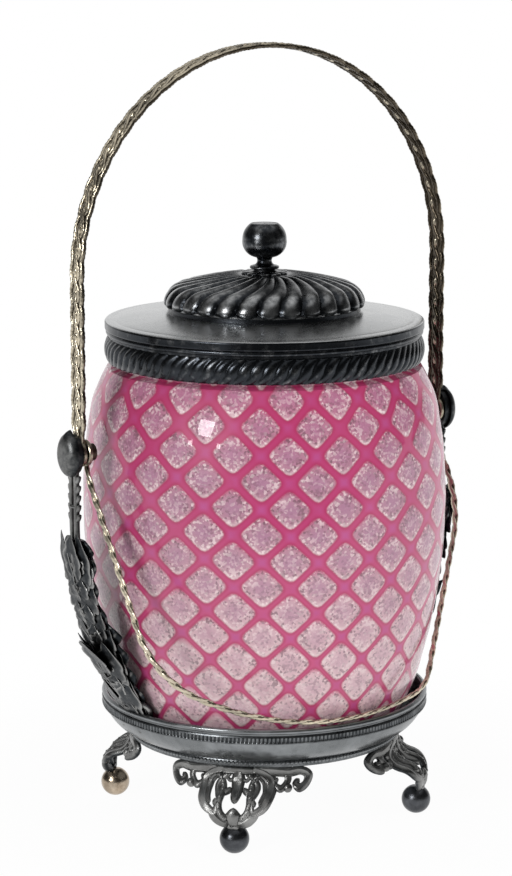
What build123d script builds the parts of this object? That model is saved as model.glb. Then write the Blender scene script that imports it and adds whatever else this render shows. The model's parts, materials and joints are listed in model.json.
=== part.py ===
"""Silver-plated biscuit jar: a glass barrel standing in a footed frame with two swing bails.

Frame: +Z up, origin on the table under the jar's axis, bail hinge along X, front towards -Y.
"""
from build123d import *
import os
from math import asin, atan2, cos, degrees, hypot, radians, sin

# ---------------------------------------------------------------- driving dimensions, mm and degrees
# Feet and legs
ball_radius = 6.2
ball_flat_depth = 0.4  # flat ground on the underside, so that the ball stands
ball_seat_depth = 0.5  # flat on top, under the leg's ankle
foot_circle_radius = 66.6
foot_bearing = 45.0  # the four legs stand midway between the hinge line and the front
leg_height = 22.3
leg_thickness = 2.6
leg_top_radius = 57.0
leg_band_half_span = 29.0
leg_band_height = 3.8
leg_body_half_width = 15.5  # across the two C scrolls
leg_stroke = 2.9  # width of the cast scroll strokes
leg_bead_radius = 2.3
leg_tongue_width = 4.2
leg_knuckle_radius = 3.4
leg_neck_width = 5.6

# Tray that the glass stands in
tray_sheet = 1.4
tray_floor_radius = 57.6
tray_wall_radius = 69.3
tray_wall_height = 13.6
tray_bead_radius = 1.2
tray_border_thickness = 0.8
tray_border_height = 3.2
base_ring_height = 3.0
base_ring_width = 4.0

# Glass barrel, heights above the tray's floor
glass_foot_radius = 54.0
glass_foot_rounding = 3.6
glass_waist_radius = 67.3
glass_waist_height = 26.8
glass_belly_radius = 77.4
glass_belly_height = 98.6
glass_shoulder_radius = 74.4
glass_shoulder_depth = 20.2  # below the neck root, where the shoulder turns in
glass_neck_root_radius = 66.6
glass_neck_root_height = 155.2
glass_neck_radius = 63.2
glass_neck_height = 13.4
glass_wall = 3.8
glass_base = 6.0

# Collar cemented round the neck
cement_thickness = 1.4
collar_sheet = 1.2
collar_flange_height = 2.2
collar_flange_radius = 67.0
collar_mouth_radius = 58.4
rope_height = 10.4
rope_depth = 1.9
rope_edge_depth = 0.3  # of the band's section at its upper and lower edges
rope_lobes = 84
rope_lobe_slant = 9.0  # sideways travel of a lobe over the band's height
rope_groove_depth = 0.9
rope_groove_half_width = 1.1

# Cover
cover_radius = 67.4
cover_edge_height = 3.8
cover_sheet = 1.3
cover_rise = 3.6  # from the rim up to the dome's foot
cover_opening_radius = 38.5
bezel_clearance = 0.5
bezel_depth = 6.5
dome_radius = 42.0
dome_foot_radius = 40.6
dome_foot_height = 2.5
dome_height = 12.9
dome_shoulder_radius = 8.6
dome_shoulder_turn = 75.0
dome_sheet = 1.2
dome_crown_margin = 0.5  # flat crown outside the rosette
rosette_radius = 10.0
rosette_height = 1.1
rosette_lobes = 10
knob_radius = 9.3
knob_height = 14.2
knob_top_radius = 5.9
knob_collar_radius = 6.2
knob_collar_height = 2.4
knob_neck_radius = 3.6
knob_neck_height = 3.4
stud_radius = 2.0
nut_across_flats = 9.0
nut_height = 3.4

# Bails and their hinge
hinge_height = 126.9  # above the tray's floor
strap_width = 10.2
strap_thickness = 1.8
eye_radius = 5.6
belly_to_short_bail = 10.5  # from the widest glass to the inner face of the short bail
bail_nesting_gap = 0.9  # between the faces of the nested bails
tall_bail_rise = 163.0
short_bail_lean_angle = 2.0  # how far past the tray's bead the short bail comes to rest
short_bail_clearance = 0.8  # to the bead in front of the jar; less beside it, as the bead curves away
short_left_shoulder_radius = 39.0
short_left_shoulder_turn = 58.0
short_sweep_turn = 48.0
short_corner_inset = 43.8  # from the glass beside the slant in to where the flat sweep ends
short_slant_share = 0.75  # how far up from waist to belly the glass comes beside the slant
short_corner_radius = 20.0
short_corner_turn = 41.0
short_knee_radius = 60.0
pin_radius = 1.6
pin_running_clearance = 0.05
pin_head_radius = 3.6
pin_head_height = 2.6
pin_head_gap = 0.3

# Leaf brackets and their bosses
bracket_thickness = 2.6
bracket_side_clearance = 0.4  # between the tall bail and the bracket
boss_half_width = 7.0
boss_half_height = 9.3
boss_depth = 4.4
boss_rim = 1.2
stem_half_width = 2.9
stem_length = 27.0  # from the hinge down to where the leaf bows inward
stem_slot_length = 11.0
stem_slot_width = 1.3
leaf_half_width = 15.5
leaf_root_half_width = 13.0
leaflet_count = 8  # on each side of the leaf
leaflet_angle = 42.0  # above level
crown_tip_height = 16.0  # the curled leaf tip high on the bracket
crown_tip_reach = 4.6  # outwards from the middle of the stem
crown_tip_half_width = 5.5
waist_tip_height = 13.0  # the larger curled tip below it
waist_tip_reach = 12.4  # outwards from where it leaves the leaf
waist_tip_half_width = 7.5

# ---------------------------------------------------------------- heights and places that follow
ball_centre_z = ball_radius - ball_flat_depth
leg_bottom_z = ball_centre_z + ball_radius - ball_seat_depth
leg_top_z = leg_bottom_z + leg_height
tray_underside_z = leg_top_z + base_ring_height
tray_floor_z = tray_underside_z + tray_sheet
tray_wall_top_z = tray_underside_z + tray_wall_height
bead_centre_radius = tray_wall_radius - 0.4
bead_centre_z = tray_wall_top_z + tray_bead_radius * 1.6
mouth_z = tray_floor_z + glass_neck_root_height + glass_neck_height
collar_bottom_z = tray_floor_z + glass_neck_root_height + 2.4
collar_wall_radius = glass_neck_radius + cement_thickness + collar_sheet
flange_bottom_z = mouth_z + 0.5
flange_top_z = flange_bottom_z + collar_flange_height
cover_top_z = flange_top_z + cover_edge_height
dome_foot_z = cover_top_z + cover_rise
dome_widest_z = dome_foot_z + dome_foot_height
dome_top_z = dome_widest_z + dome_height
rosette_top_z = dome_top_z + rosette_height
knob_bottom_z = rosette_top_z + knob_collar_height + knob_neck_height
knob_top_z = knob_bottom_z + knob_height
hinge_z = tray_floor_z + hinge_height
short_bail_x = glass_belly_radius + belly_to_short_bail + strap_thickness / 2
tall_bail_x = short_bail_x + strap_thickness + bail_nesting_gap
bracket_inner_x = tall_bail_x + strap_thickness / 2 + bracket_side_clearance
bracket_mid_x = bracket_inner_x + bracket_thickness / 2


# ---------------------------------------------------------------- shared helpers
def turned(*edges):
    """A solid of revolution about Z; the edges close an (r, z) outline."""
    face = make_face([edge for item in edges for edge in item.edges()])
    return revolve(Plane.XZ * face, axis=Axis.Z)


def ring(inner_radius, outer_radius, bottom, top):
    """A plain ring of rectangular section."""
    centre = ((inner_radius + outer_radius) / 2, (bottom + top) / 2)
    section = Pos(*centre) * Rectangle(outer_radius - inner_radius, top - bottom)
    return revolve(Plane.XZ * section, axis=Axis.Z)


def polar_line(r, z, *more):
    """A polyline through (r, z) pairs."""
    points = [(r, z)] + list(more)
    return Polyline(*points)


def write(name, solid):
    """Write one node as parts/NAME.step."""
    solid.label = name
    export_step(solid, os.path.join("parts", name + ".step"))


def mirrored_x(solid):
    """The same piece on the other side of the YZ plane."""
    return mirror(solid, about=Plane.YZ)


# ---------------------------------------------------------------- feet and legs
def ball_foot():
    """A cast ball, flat where it stands and flat where the leg's ankle rests on it."""
    ball = Pos(0, 0, ball_centre_z) * Sphere(ball_radius)
    height = leg_bottom_z
    slab = Pos(0, 0, height / 2) * Box(4 * ball_radius, 4 * ball_radius, height)
    return Pos(foot_circle_radius, 0, 0) * (ball & slab)


def leg_shell():
    """The S-bent sheet that the leg is pierced from, revolved about the jar's axis."""
    spread = foot_circle_radius - leg_top_radius
    top = (leg_top_radius, leg_top_z + 1)
    knee = (leg_top_radius + 0.72 * spread, leg_bottom_z + 0.52 * leg_height)
    ankle = (foot_circle_radius, leg_bottom_z - 1)
    upper = Line(top, (leg_top_radius, leg_top_z - 0.1 * leg_height))
    belly = TangentArc(upper @ 1, knee, tangent=upper % 1)
    lower = TangentArc(knee, ankle, tangent=belly % 1)
    section = trace([upper, belly, lower], leg_thickness)
    return revolve(Plane.XZ * section, axis=Axis.Z)


def leg_scroll_side(side):
    """Half of the pierced outline: wing with its curl and bead, C scroll, inner rib and lower stroke."""
    top = leg_height
    curl_radius = 1.15 * leg_band_height
    curl = Pos(side * (leg_band_half_span - curl_radius), top - 0.85 * curl_radius) * Circle(curl_radius)
    bead_z = top - leg_band_height - 1.1 * leg_bead_radius
    bead = Pos(side * 0.72 * leg_band_half_span, bead_z) * Circle(leg_bead_radius)
    reach = side * (leg_body_half_width - leg_stroke / 2)
    scroll = ThreePointArc((0.60 * reach, 0.88 * top), (reach, 0.56 * top), (0.62 * reach, 0.28 * top))
    rib_top = (0.64 * reach, 0.87 * top)
    rib_upper = ThreePointArc(rib_top, (0.49 * reach, 0.75 * top), (0.42 * reach, 0.61 * top))
    rib_lower = ThreePointArc(rib_upper @ 1, (0.46 * reach, 0.38 * top), (0.24 * reach, 0.15 * top))
    lower = ThreePointArc(scroll @ 1, (0.46 * reach, 0.15 * top), (0.12 * reach, 0.05 * top))
    bridge = Pos(0.27 * reach, 0.56 * top) * Circle(0.6 * leg_stroke)
    outline = curl + bead + trace(scroll, leg_stroke) + bridge
    outline += trace([rib_upper, rib_lower], 0.85 * leg_stroke)
    outline += trace(lower, leg_stroke)
    eye = Pos(side * (leg_band_half_span - curl_radius), top - 0.95 * curl_radius) * Circle(0.3 * curl_radius)
    return outline - eye


def leg_scrollwork():
    """The pierced outline of one leg, seen along the radius: x is tangential, y is height."""
    top = leg_height
    curl_radius = 1.15 * leg_band_height
    band_length = 2 * (leg_band_half_span - 1.5 * curl_radius)
    band = Pos(0, top - leg_band_height / 2) * Rectangle(band_length, leg_band_height)
    tongue = Pos(0, 0.72 * top) * SlotOverall(0.60 * top, leg_tongue_width, rotation=90)
    knuckle_z = 1.25 * leg_knuckle_radius
    knuckle = Pos(0, knuckle_z) * Circle(leg_knuckle_radius)
    neck = Pos(0, knuckle_z / 2) * Rectangle(leg_neck_width, knuckle_z)
    outline = band + tongue + knuckle + neck
    for side in (-1, 1):
        outline += leg_scroll_side(side)
    return outline & Pos(0, top / 2) * Rectangle(3 * leg_band_half_span, top)


def leg():
    """One openwork leg at bearing zero: scroll outline cut out of the S-bent shell."""
    reach = foot_circle_radius + 12
    outline = Plane(origin=(0, 0, leg_bottom_z), x_dir=(0, 1, 0), z_dir=(1, 0, 0)) * leg_scrollwork()
    prism = extrude(outline, reach)
    solid = prism & leg_shell()
    return max(solid.solids(), key=lambda piece: piece.volume)


def at_foot(solid, quarter):
    """Turn a piece made at bearing zero to one of the four feet."""
    return Rot(Z=foot_bearing + 90 * quarter) * solid


# ---------------------------------------------------------------- tray
def tray_outer_wall(inset):
    """The bowl's wall from its floor to the bead, inset from the outer skin."""
    floor_end = (tray_floor_radius - 0.3 * inset, tray_underside_z + inset)
    middle_radius = tray_floor_radius + 0.70 * (tray_wall_radius - tray_floor_radius)
    middle = (middle_radius - 0.78 * inset, tray_underside_z + 0.36 * tray_wall_height + 0.62 * inset)
    top = (tray_wall_radius - inset, tray_wall_top_z)
    return ThreePointArc(floor_end, middle, top)


def tray():
    """The spun bowl with its rolled bead; the glass stands on the flat floor."""
    outer = tray_outer_wall(0)
    inner = tray_outer_wall(tray_sheet)
    floor = polar_line(0, tray_underside_z, tuple(outer @ 0)[:2])
    rim = Line(outer @ 1, inner @ 1)
    top = Polyline(tuple(inner @ 0)[:2], (0, tray_floor_z), (0, tray_underside_z))
    bowl = turned(floor, outer, rim, inner, top)
    bead = Pos(bead_centre_radius, bead_centre_z) * Circle(tray_bead_radius)
    neck = Polyline(
        tuple(outer @ 1)[:2],
        (bead_centre_radius + 0.3, bead_centre_z),
        (bead_centre_radius - 0.7, bead_centre_z),
        tuple(inner @ 1)[:2],
        close=True,
    )
    return bowl + revolve(Plane.XZ * bead, axis=Axis.Z) + turned(neck)


def rim_border():
    """The ribbed wire gallery soldered round the tray, under its bead."""
    top = tray_wall_top_z
    wall = ring(tray_wall_radius - 3, tray_wall_radius + tray_border_thickness, top - tray_border_height, top)
    core = tray() + ring(0, tray_wall_radius - 1.2, top - 2 * tray_border_height, top + 1)
    return max((wall - core).solids(), key=lambda piece: piece.volume)


def base_ring():
    """The beaded ring between the tray and the legs."""
    outer = tray_floor_radius + 0.4
    inner = outer - base_ring_width
    bottom = leg_top_z
    top = tray_underside_z
    bulge = ThreePointArc((outer, bottom), (outer + 0.9, (bottom + top) / 2), (outer, top))
    rest = Polyline((outer, top), (inner, top), (inner, bottom), (outer, bottom))
    return turned(bulge, rest)


# ---------------------------------------------------------------- glass
def barrel_outline(wall, bottom_z):
    """The barrel's outline from the foot to the mouth, inset by the wall."""
    belly = (glass_belly_radius - wall, tray_floor_z + glass_belly_height)
    waist = (glass_waist_radius - wall, tray_floor_z + glass_waist_height)
    shoulder = (glass_shoulder_radius - wall, tray_floor_z + glass_neck_root_height - glass_shoulder_depth)
    root = (glass_neck_root_radius - wall, tray_floor_z + glass_neck_root_height)
    foot = (glass_foot_radius + glass_foot_rounding - wall, bottom_z + glass_foot_rounding)
    lower = TangentArc(belly, waist, tangent=(0, -1))
    heel = TangentArc(waist, foot, tangent=lower % 1)
    upper = TangentArc(belly, shoulder, tangent=(0, 1))
    crown = TangentArc(shoulder, root, tangent=upper % 1)
    rounding = TangentArc(foot, (glass_foot_radius - wall, bottom_z), tangent=heel % 1)
    return rounding, heel, lower, upper, crown


def glass_jar():
    """The blown barrel: open at the mouth, with a heavier base."""
    outside = barrel_outline(0, tray_floor_z)
    inside = barrel_outline(glass_wall, tray_floor_z + glass_base)
    neck_foot = (glass_neck_radius, tray_floor_z + glass_neck_root_height + 1.2)
    solids = []
    for outline, neck, floor, reach in (
        (outside, neck_foot, tray_floor_z, 0),
        (inside, (glass_neck_radius - glass_wall, neck_foot[1]), tray_floor_z + glass_base, 5),
    ):
        root = tuple(outline[4] @ 1)[:2]
        start = tuple(outline[0] @ 1)[:2]
        close = Polyline(root, neck, (neck[0], mouth_z + reach), (0, mouth_z + reach), (0, floor), start)
        solids.append(turned(*outline, close))
    return solids[0] - solids[1]


# ---------------------------------------------------------------- collar
def neck_cement():
    """The plaster that fills the gap between neck and collar."""
    return ring(
        glass_neck_radius, glass_neck_radius + cement_thickness, collar_bottom_z + 0.6, mouth_z - 0.4
    )


def collar():
    """The spun collar: an outer wall, and a flat flange over the glass's lip."""
    wall = ring(collar_wall_radius - collar_sheet, collar_wall_radius, collar_bottom_z, flange_bottom_z)
    lip = Polyline(
        (collar_mouth_radius, flange_bottom_z),
        (collar_flange_radius, flange_bottom_z),
        (collar_flange_radius, flange_top_z - 0.5),
        (collar_flange_radius - 0.5, flange_top_z),
        (collar_mouth_radius, flange_top_z),
        close=True,
    )
    return wall + turned(lip)


def rope_groove():
    """The valley between two lobes at bearing zero: a V carried along the slanted crest."""
    bulge = rope_depth - rope_edge_depth
    half_chord = hypot(rope_height, rope_lobe_slant) / 2
    crest_radius = (half_chord**2 + bulge**2) / (2 * bulge)
    valley = (crest_radius - rope_groove_depth, 0)
    mouth_radius = crest_radius + rope_groove_depth
    section = Polyline(
        valley,
        (mouth_radius, 2 * rope_groove_half_width),
        (mouth_radius, -2 * rope_groove_half_width),
        close=True,
    )
    half_turn = 1.25 * degrees(asin(half_chord / crest_radius))
    face = Plane.XY * make_face(section.edges())
    arc = revolve(face, axis=Axis.Y, revolution_arc=2 * half_turn)
    upright = Rot(Y=-half_turn) * arc
    lean = degrees(atan2(rope_lobe_slant, rope_height))
    crest = Pos(collar_wall_radius + rope_depth, 0, collar_bottom_z + rope_height / 2)
    return crest * Rot(X=-lean) * Pos(-crest_radius, 0, 0) * upright


def rope_border():
    """The half-round gadrooned band soldered round the collar, its lobes leaning one way."""
    bottom = collar_bottom_z
    top = bottom + rope_height
    crest = ThreePointArc(
        (collar_wall_radius + rope_edge_depth, bottom),
        (collar_wall_radius + rope_depth, (bottom + top) / 2),
        (collar_wall_radius + rope_edge_depth, top),
    )
    back = Polyline(
        tuple(crest @ 1)[:2], (collar_wall_radius, top), (collar_wall_radius, bottom), tuple(crest @ 0)[:2]
    )
    groove = rope_groove()
    grooves = [Rot(Z=360 * number / rope_lobes) * groove for number in range(rope_lobes)]
    return turned(crest, back) - grooves


# ---------------------------------------------------------------- cover
def cover_slope(radius):
    """Height of the cover's upper skin at a radius: a shallow cone up to the dome."""
    run = cover_radius - 0.9 - dome_foot_radius
    return cover_top_z + cover_rise * (cover_radius - 0.9 - radius) / run


def cover_plate():
    """The spun cover: upright edge, shallow conical skin, open under the dome."""
    shoulder = cover_radius - 0.9
    edge_inner = cover_radius - cover_sheet
    outline = Polyline(
        (edge_inner, flange_top_z),
        (cover_radius, flange_top_z),
        (cover_radius, cover_top_z - 0.9),
        (shoulder, cover_top_z),
        (cover_opening_radius, cover_slope(cover_opening_radius)),
        (cover_opening_radius, cover_slope(cover_opening_radius) - cover_sheet),
        (edge_inner, cover_slope(edge_inner) - cover_sheet),
        close=True,
    )
    return turned(outline)


def cover_bezel():
    """The ring under the cover that centres it in the collar's mouth."""
    outer = collar_mouth_radius - bezel_clearance
    inner = outer - cover_sheet
    bottom = flange_top_z - bezel_depth
    outline = Polyline(
        (inner, bottom),
        (outer, bottom),
        (outer, cover_slope(outer) - cover_sheet),
        (inner, cover_slope(inner) - cover_sheet),
        close=True,
    )
    return turned(outline)


def dome_outline(inset):
    """The dome's skin from its foot over the shoulder and the flat crown, inset by the sheet."""
    foot = (dome_foot_radius - inset, cover_slope(dome_foot_radius - inset))
    widest = (dome_radius - inset, dome_widest_z)
    shoulder = dome_shoulder_radius - inset
    turn = radians(dome_shoulder_turn)
    centre = dome_radius - dome_shoulder_radius
    brow = (centre + shoulder * cos(turn), dome_widest_z + shoulder * sin(turn))
    crown_edge = (rosette_radius + dome_crown_margin, dome_top_z - inset)
    side = TangentArc(widest, brow, tangent=(0, 1))
    slope = TangentArc(brow, crown_edge, tangent=side % 1)
    crown = Line(crown_edge, (stud_radius, dome_top_z - inset))
    return Line(foot, widest), side, slope, crown


def cover_dome():
    """The stamped dome, hollow below, with a hole for the knob's stud."""
    outer = dome_outline(0)
    inner = dome_outline(dome_sheet)
    foot = Line(outer[0] @ 0, inner[0] @ 0)
    hole = Line(outer[3] @ 1, inner[3] @ 1)
    return turned(*outer, hole, *inner, foot)


def finial_rosette():
    """The lobed washer under the knob."""
    lobe = rosette_radius * sin(radians(180 / rosette_lobes)) * 1.05
    outline = Circle(rosette_radius - lobe)
    for number in range(rosette_lobes):
        outline += Rot(Z=360 * number / rosette_lobes) * Pos(rosette_radius - lobe, 0) * Circle(lobe)
    outline -= Circle(stud_radius)
    return Pos(0, 0, dome_top_z) * extrude(outline, rosette_height)


def finial_knob():
    """The turned knob: collar, waist, flattened ball with a flat top, and its stud below."""
    collar_top = rosette_top_z + knob_collar_height
    bulge_z = knob_bottom_z + 0.54 * knob_height
    stud_bottom = dome_top_z - dome_sheet - nut_height - 1.0
    ball_low = ThreePointArc(
        (knob_neck_radius, knob_bottom_z),
        (knob_neck_radius + 0.76 * (knob_radius - knob_neck_radius), knob_bottom_z + 0.17 * knob_height),
        (knob_radius, bulge_z),
    )
    ball_high = TangentArc(ball_low @ 1, (knob_top_radius, knob_top_z), tangent=(0, 1))
    waist = ThreePointArc(
        (knob_collar_radius - 0.6, collar_top),
        (knob_neck_radius - 0.5, (collar_top + knob_bottom_z) / 2),
        (knob_neck_radius, knob_bottom_z),
    )
    rest = Polyline(
        (knob_top_radius, knob_top_z),
        (0, knob_top_z),
        (0, stud_bottom),
        (stud_radius, stud_bottom),
        (stud_radius, rosette_top_z),
        (knob_collar_radius, rosette_top_z),
        (knob_collar_radius, collar_top - 0.6),
        (knob_collar_radius - 0.6, collar_top),
    )
    return turned(ball_low, ball_high, rest, waist)


def finial_nut():
    """The hexagonal nut that draws the knob down on the dome."""
    across_corners = nut_across_flats / cos(radians(30))
    outline = RegularPolygon(across_corners / 2, 6) - Circle(stud_radius)
    top = dome_top_z - dome_sheet
    nut = Pos(0, 0, top - nut_height) * extrude(outline, nut_height + 1)
    return max((nut - cover_dome()).solids(), key=lambda piece: piece.volume)


# ---------------------------------------------------------------- bails
def strap(path, eye_x):
    """A flat strap along a path in the XZ plane, with a bored round eye at each end."""
    section = trace(path, strap_thickness)
    body = extrude(Plane.XZ * section, strap_width / 2, both=True)
    for side in (-1, 1):
        placed = Pos(side * eye_x, 0, 0) * Rot(Y=90)
        body += placed * Cylinder(eye_radius, strap_thickness)
        body -= placed * Cylinder(pin_radius + pin_running_clearance, 3 * strap_thickness)
    return body


def tall_bail():
    """The tall bail: straight legs under a half-round arch, standing upright at rest."""
    leg_length = tall_bail_rise - tall_bail_x
    left = Line((-tall_bail_x, 0), (-tall_bail_x, leg_length))
    arch = ThreePointArc(left @ 1, (0, tall_bail_rise), (tall_bail_x, leg_length))
    right = Line(arch @ 1, (tall_bail_x, 0))
    return Pos(0, 0, hinge_z) * strap([left, arch, right], tall_bail_x)


def bead_reach():
    """Distance from the hinge line to the near side of the tray's bead."""
    return hypot(bead_centre_radius, hinge_z - bead_centre_z) - tray_bead_radius


def short_bail_path():
    """The short bail's line, hanging straight down: soft strap, sprung a little out of true.

    From the left eye it runs down, round a tight shoulder, along a flat sweep, round a
    corner and straight up a slant, and turns upright again to the right eye.
    """
    depth = bead_reach() - short_bail_clearance - strap_thickness / 2
    first_turn = radians(short_left_shoulder_turn)
    last_turn = first_turn + radians(short_sweep_turn)
    shoulder_run = short_left_shoulder_radius * (1 - cos(first_turn))
    glass_beside = glass_waist_radius + short_slant_share * (glass_belly_radius - glass_waist_radius)
    sweep_span = short_bail_x - shoulder_run + glass_beside - short_corner_inset
    sweep_radius = sweep_span / (cos(first_turn) - cos(last_turn))
    drop = short_left_shoulder_radius * sin(first_turn) + sweep_radius * (1 - sin(first_turn))
    left = Line((-short_bail_x, 0), (-short_bail_x, drop - depth))
    shoulder = JernArc(left @ 1, left % 1, short_left_shoulder_radius, short_left_shoulder_turn)
    sweep_arc = JernArc(shoulder @ 1, shoulder % 1, sweep_radius, short_sweep_turn)
    corner = JernArc(sweep_arc @ 1, sweep_arc % 1, short_corner_radius, short_corner_turn)
    heading = corner % 1
    slant_angle = atan2(heading.Y, heading.X)
    knee_turn = radians(90) - slant_angle
    knee_run = short_knee_radius * (1 - cos(knee_turn))
    start = corner @ 1
    slant_length = (short_bail_x - start.X - knee_run) / cos(slant_angle)
    slant_end = start + heading * slant_length
    slant = Line(start, slant_end)
    knee = JernArc(slant_end, heading, short_knee_radius, degrees(knee_turn))
    right = Line(knee @ 1, (short_bail_x, 0))
    return [left, shoulder, sweep_arc, corner, slant, knee, right]


def short_bail_angle():
    """Rest angle of the short bail, forward of straight down."""
    return degrees(atan2(bead_centre_radius, hinge_z - bead_centre_z)) + short_bail_lean_angle


def short_bail():
    """The short bail, lowered forward until it lies over the tray's bead."""
    hanging = strap(short_bail_path(), short_bail_x)
    return Pos(0, 0, hinge_z) * Rot(X=-short_bail_angle()) * hanging


# ---------------------------------------------------------------- brackets, bosses and pins
def bracket_profile():
    """Side view of the bracket in (x, z): stem, bowed leaf and root, with two curled leaf tips."""
    stem_top = (bracket_mid_x, hinge_z - boss_half_height + 2 * boss_rim)
    stem_foot = (bracket_mid_x, hinge_z - stem_length)
    waist_x = 0.5 * (bracket_mid_x + tray_wall_radius) + 0.85 * bracket_thickness
    waist = (waist_x, tray_wall_top_z + 0.40 * (stem_foot[1] - tray_wall_top_z))
    root = (tray_wall_radius - 3.0, tray_wall_top_z + 2)
    stem = Line(stem_top, stem_foot)
    bow = TangentArc(stem_foot, waist, tangent=stem % 1)
    heel = TangentArc(waist, root, tangent=bow % 1)
    foot = Line(root, (root[0] - 0.4, tray_floor_z + 4))
    return stem, bow, heel, foot


def leaflet(length, width):
    """A pointed leaflet that grows from the origin along x."""
    upper = ThreePointArc((0, 0), (0.45 * length, width / 2), (length, 0))
    lower = ThreePointArc((length, 0), (0.45 * length, -width / 2), (0, 0))
    return make_face([upper, lower])


def leaf_outline():
    """Front view of the bracket in (y, z): an acanthus leaf of paired leaflets on a slender stem."""
    stem_top = hinge_z - boss_half_height + 2 * boss_rim
    root_z = tray_floor_z + 4.5
    leaf_top = hinge_z - 0.30 * (hinge_z - root_z)
    height = leaf_top - root_z
    pitch = height / leaflet_count
    outline = Pos(0, (stem_top + root_z) / 2) * Rectangle(2 * stem_half_width, stem_top - root_z)
    blade_side = (0.60 * leaf_half_width, root_z + 0.42 * height)
    blade = ThreePointArc((0, leaf_top), blade_side, (0, root_z - 0.3 * height))
    outline += make_face([blade, mirror(blade, about=Plane.YZ)])
    for number in range(leaflet_count):
        share = number / (leaflet_count - 1)
        fullness = sin(radians(35 + 115 * (1 - share) ** 1.2))
        length = leaf_half_width * fullness / cos(radians(leaflet_angle))
        base_z = root_z + pitch * (0.2 + 0.92 * number)
        for side in (-1, 1):
            heading = leaflet_angle if side > 0 else 180 - leaflet_angle
            outline += Pos(0, base_z) * Rot(Z=heading) * leaflet(length, 0.72 * pitch)
    foot = Pos(0, root_z + 0.05 * height) * SlotOverall(2 * leaf_root_half_width, 0.10 * height)
    return outline + foot


def leaf_tip(base_z, base_x, tip_x, rise, half_width):
    """A curled leaf tip that stands off the bracket: side profile crossed with a pointed outline."""
    base = (base_x, base_z)
    tip = (tip_x, base_z + rise)
    curl = TangentArc(base, tip, tangent=(0.12, 1))
    side = extrude(Plane.XZ * trace(curl, bracket_thickness * 0.7), half_width, both=True)
    front = Polyline(
        (-half_width, base_z - 2),
        (half_width, base_z - 2),
        (half_width * 0.9, base_z + 0.45 * rise),
        (0, base_z + rise + 1.5),
        (-half_width * 0.9, base_z + 0.45 * rise),
        close=True,
    )
    plane = Plane(origin=(0, 0, 0), x_dir=(0, 1, 0), z_dir=(1, 0, 0))
    return side & extrude(plane * make_face(front.edges()), bracket_mid_x + leaf_half_width)


def bracket():
    """The right-hand leaf bracket, from its root inside the tray up to the boss."""
    section = trace(list(bracket_profile()), bracket_thickness)
    profile = extrude(Plane.XZ * section, 2 * leaf_half_width, both=True)
    plane = Plane(origin=(0, 0, 0), x_dir=(0, 1, 0), z_dir=(1, 0, 0))
    body = profile & extrude(plane * leaf_outline(), bracket_mid_x + leaf_half_width)
    stem, bow, heel, foot = bracket_profile()
    upper = bow @ 0.35
    lower = bow @ 0.85
    crown_tip_x = bracket_mid_x + crown_tip_reach
    body += leaf_tip(upper.Y, upper.X, crown_tip_x, crown_tip_height, crown_tip_half_width)
    waist_tip_x = lower.X + waist_tip_reach
    body += leaf_tip(lower.Y, lower.X, waist_tip_x, waist_tip_height, waist_tip_half_width)
    slot_z = hinge_z - boss_half_height - 3 - stem_slot_length / 2
    body -= Pos(bracket_mid_x, 0, slot_z) * Box(3 * bracket_thickness, stem_slot_width, stem_slot_length)
    body += bracket_head()
    body -= tray()
    return max(body.solids(), key=lambda piece: piece.volume)


def bracket_head():
    """The oval head at the top of the bracket, bored for the hinge pin."""
    head = Ellipse(boss_half_width - boss_rim, boss_half_height - boss_rim)
    plane = Plane(origin=(bracket_inner_x, 0, hinge_z), x_dir=(0, 1, 0), z_dir=(1, 0, 0))
    disc = extrude(plane * head, bracket_thickness)
    return disc - Pos(bracket_mid_x, 0, hinge_z) * Rot(Y=90) * Cylinder(pin_radius, 3 * bracket_thickness)


def boss():
    """The domed oval boss that covers the riveted end of the hinge pin."""
    base_x = bracket_inner_x + bracket_thickness
    radius = (boss_half_height**2 + boss_depth**2) / (2 * boss_depth)
    dome = Pos(boss_depth - radius, 0, 0) * Sphere(radius)
    plane = Plane(origin=(0, 0, 0), x_dir=(0, 1, 0), z_dir=(1, 0, 0))
    oval = extrude(plane * Ellipse(boss_half_width, boss_half_height), 2 * boss_depth)
    point = Pos(boss_depth * 0.28, 0, boss_half_height - 0.6) * Cone(1.6, 0.5, 3.4)
    outward = Pos(boss_depth, 0, boss_half_height) * Box(2 * boss_depth, boss_half_width, boss_half_height)
    blank = (dome & oval) + (point & outward)
    return Pos(base_x, 0, hinge_z) * blank


def hinge_pin():
    """The rivet that carries both bails, headed inside the short bail's eye."""
    outer_x = bracket_inner_x + bracket_thickness
    head_x = short_bail_x - strap_thickness / 2 - pin_head_gap
    shank = Plane(origin=(head_x, 0, hinge_z), x_dir=(0, 1, 0), z_dir=(1, 0, 0)) * Circle(pin_radius)
    head = Plane(origin=(head_x, 0, hinge_z), x_dir=(0, 1, 0), z_dir=(-1, 0, 0)) * Circle(pin_head_radius)
    return extrude(shank, outer_x - head_x) + extrude(head, pin_head_height)


# ---------------------------------------------------------------- build
def main():
    """Build and write every node."""
    os.makedirs("parts", exist_ok=True)
    feet = ("back_right", "back_left", "front_left", "front_right")
    for quarter, name in enumerate(feet):
        write("ball_foot_" + name, at_foot(ball_foot(), quarter))
        write("leg_" + name, at_foot(leg(), quarter))
    write("tray", tray())
    write("rim_border", rim_border())
    write("base_ring", base_ring())
    write("glass_jar", glass_jar())
    write("neck_cement", neck_cement())
    write("collar", collar())
    write("rope_border", rope_border())
    write("cover_plate", cover_plate())
    write("cover_bezel", cover_bezel())
    write("cover_dome", cover_dome())
    write("finial_rosette", finial_rosette())
    write("finial_knob", finial_knob())
    write("finial_nut", finial_nut())
    write("tall_bail", tall_bail())
    write("short_bail", short_bail())
    for name, piece in (("bracket", bracket()), ("boss", boss()), ("hinge_pin", hinge_pin())):
        write(name + "_right", piece)
        write(name + "_left", mirrored_x(piece))


main()
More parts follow.
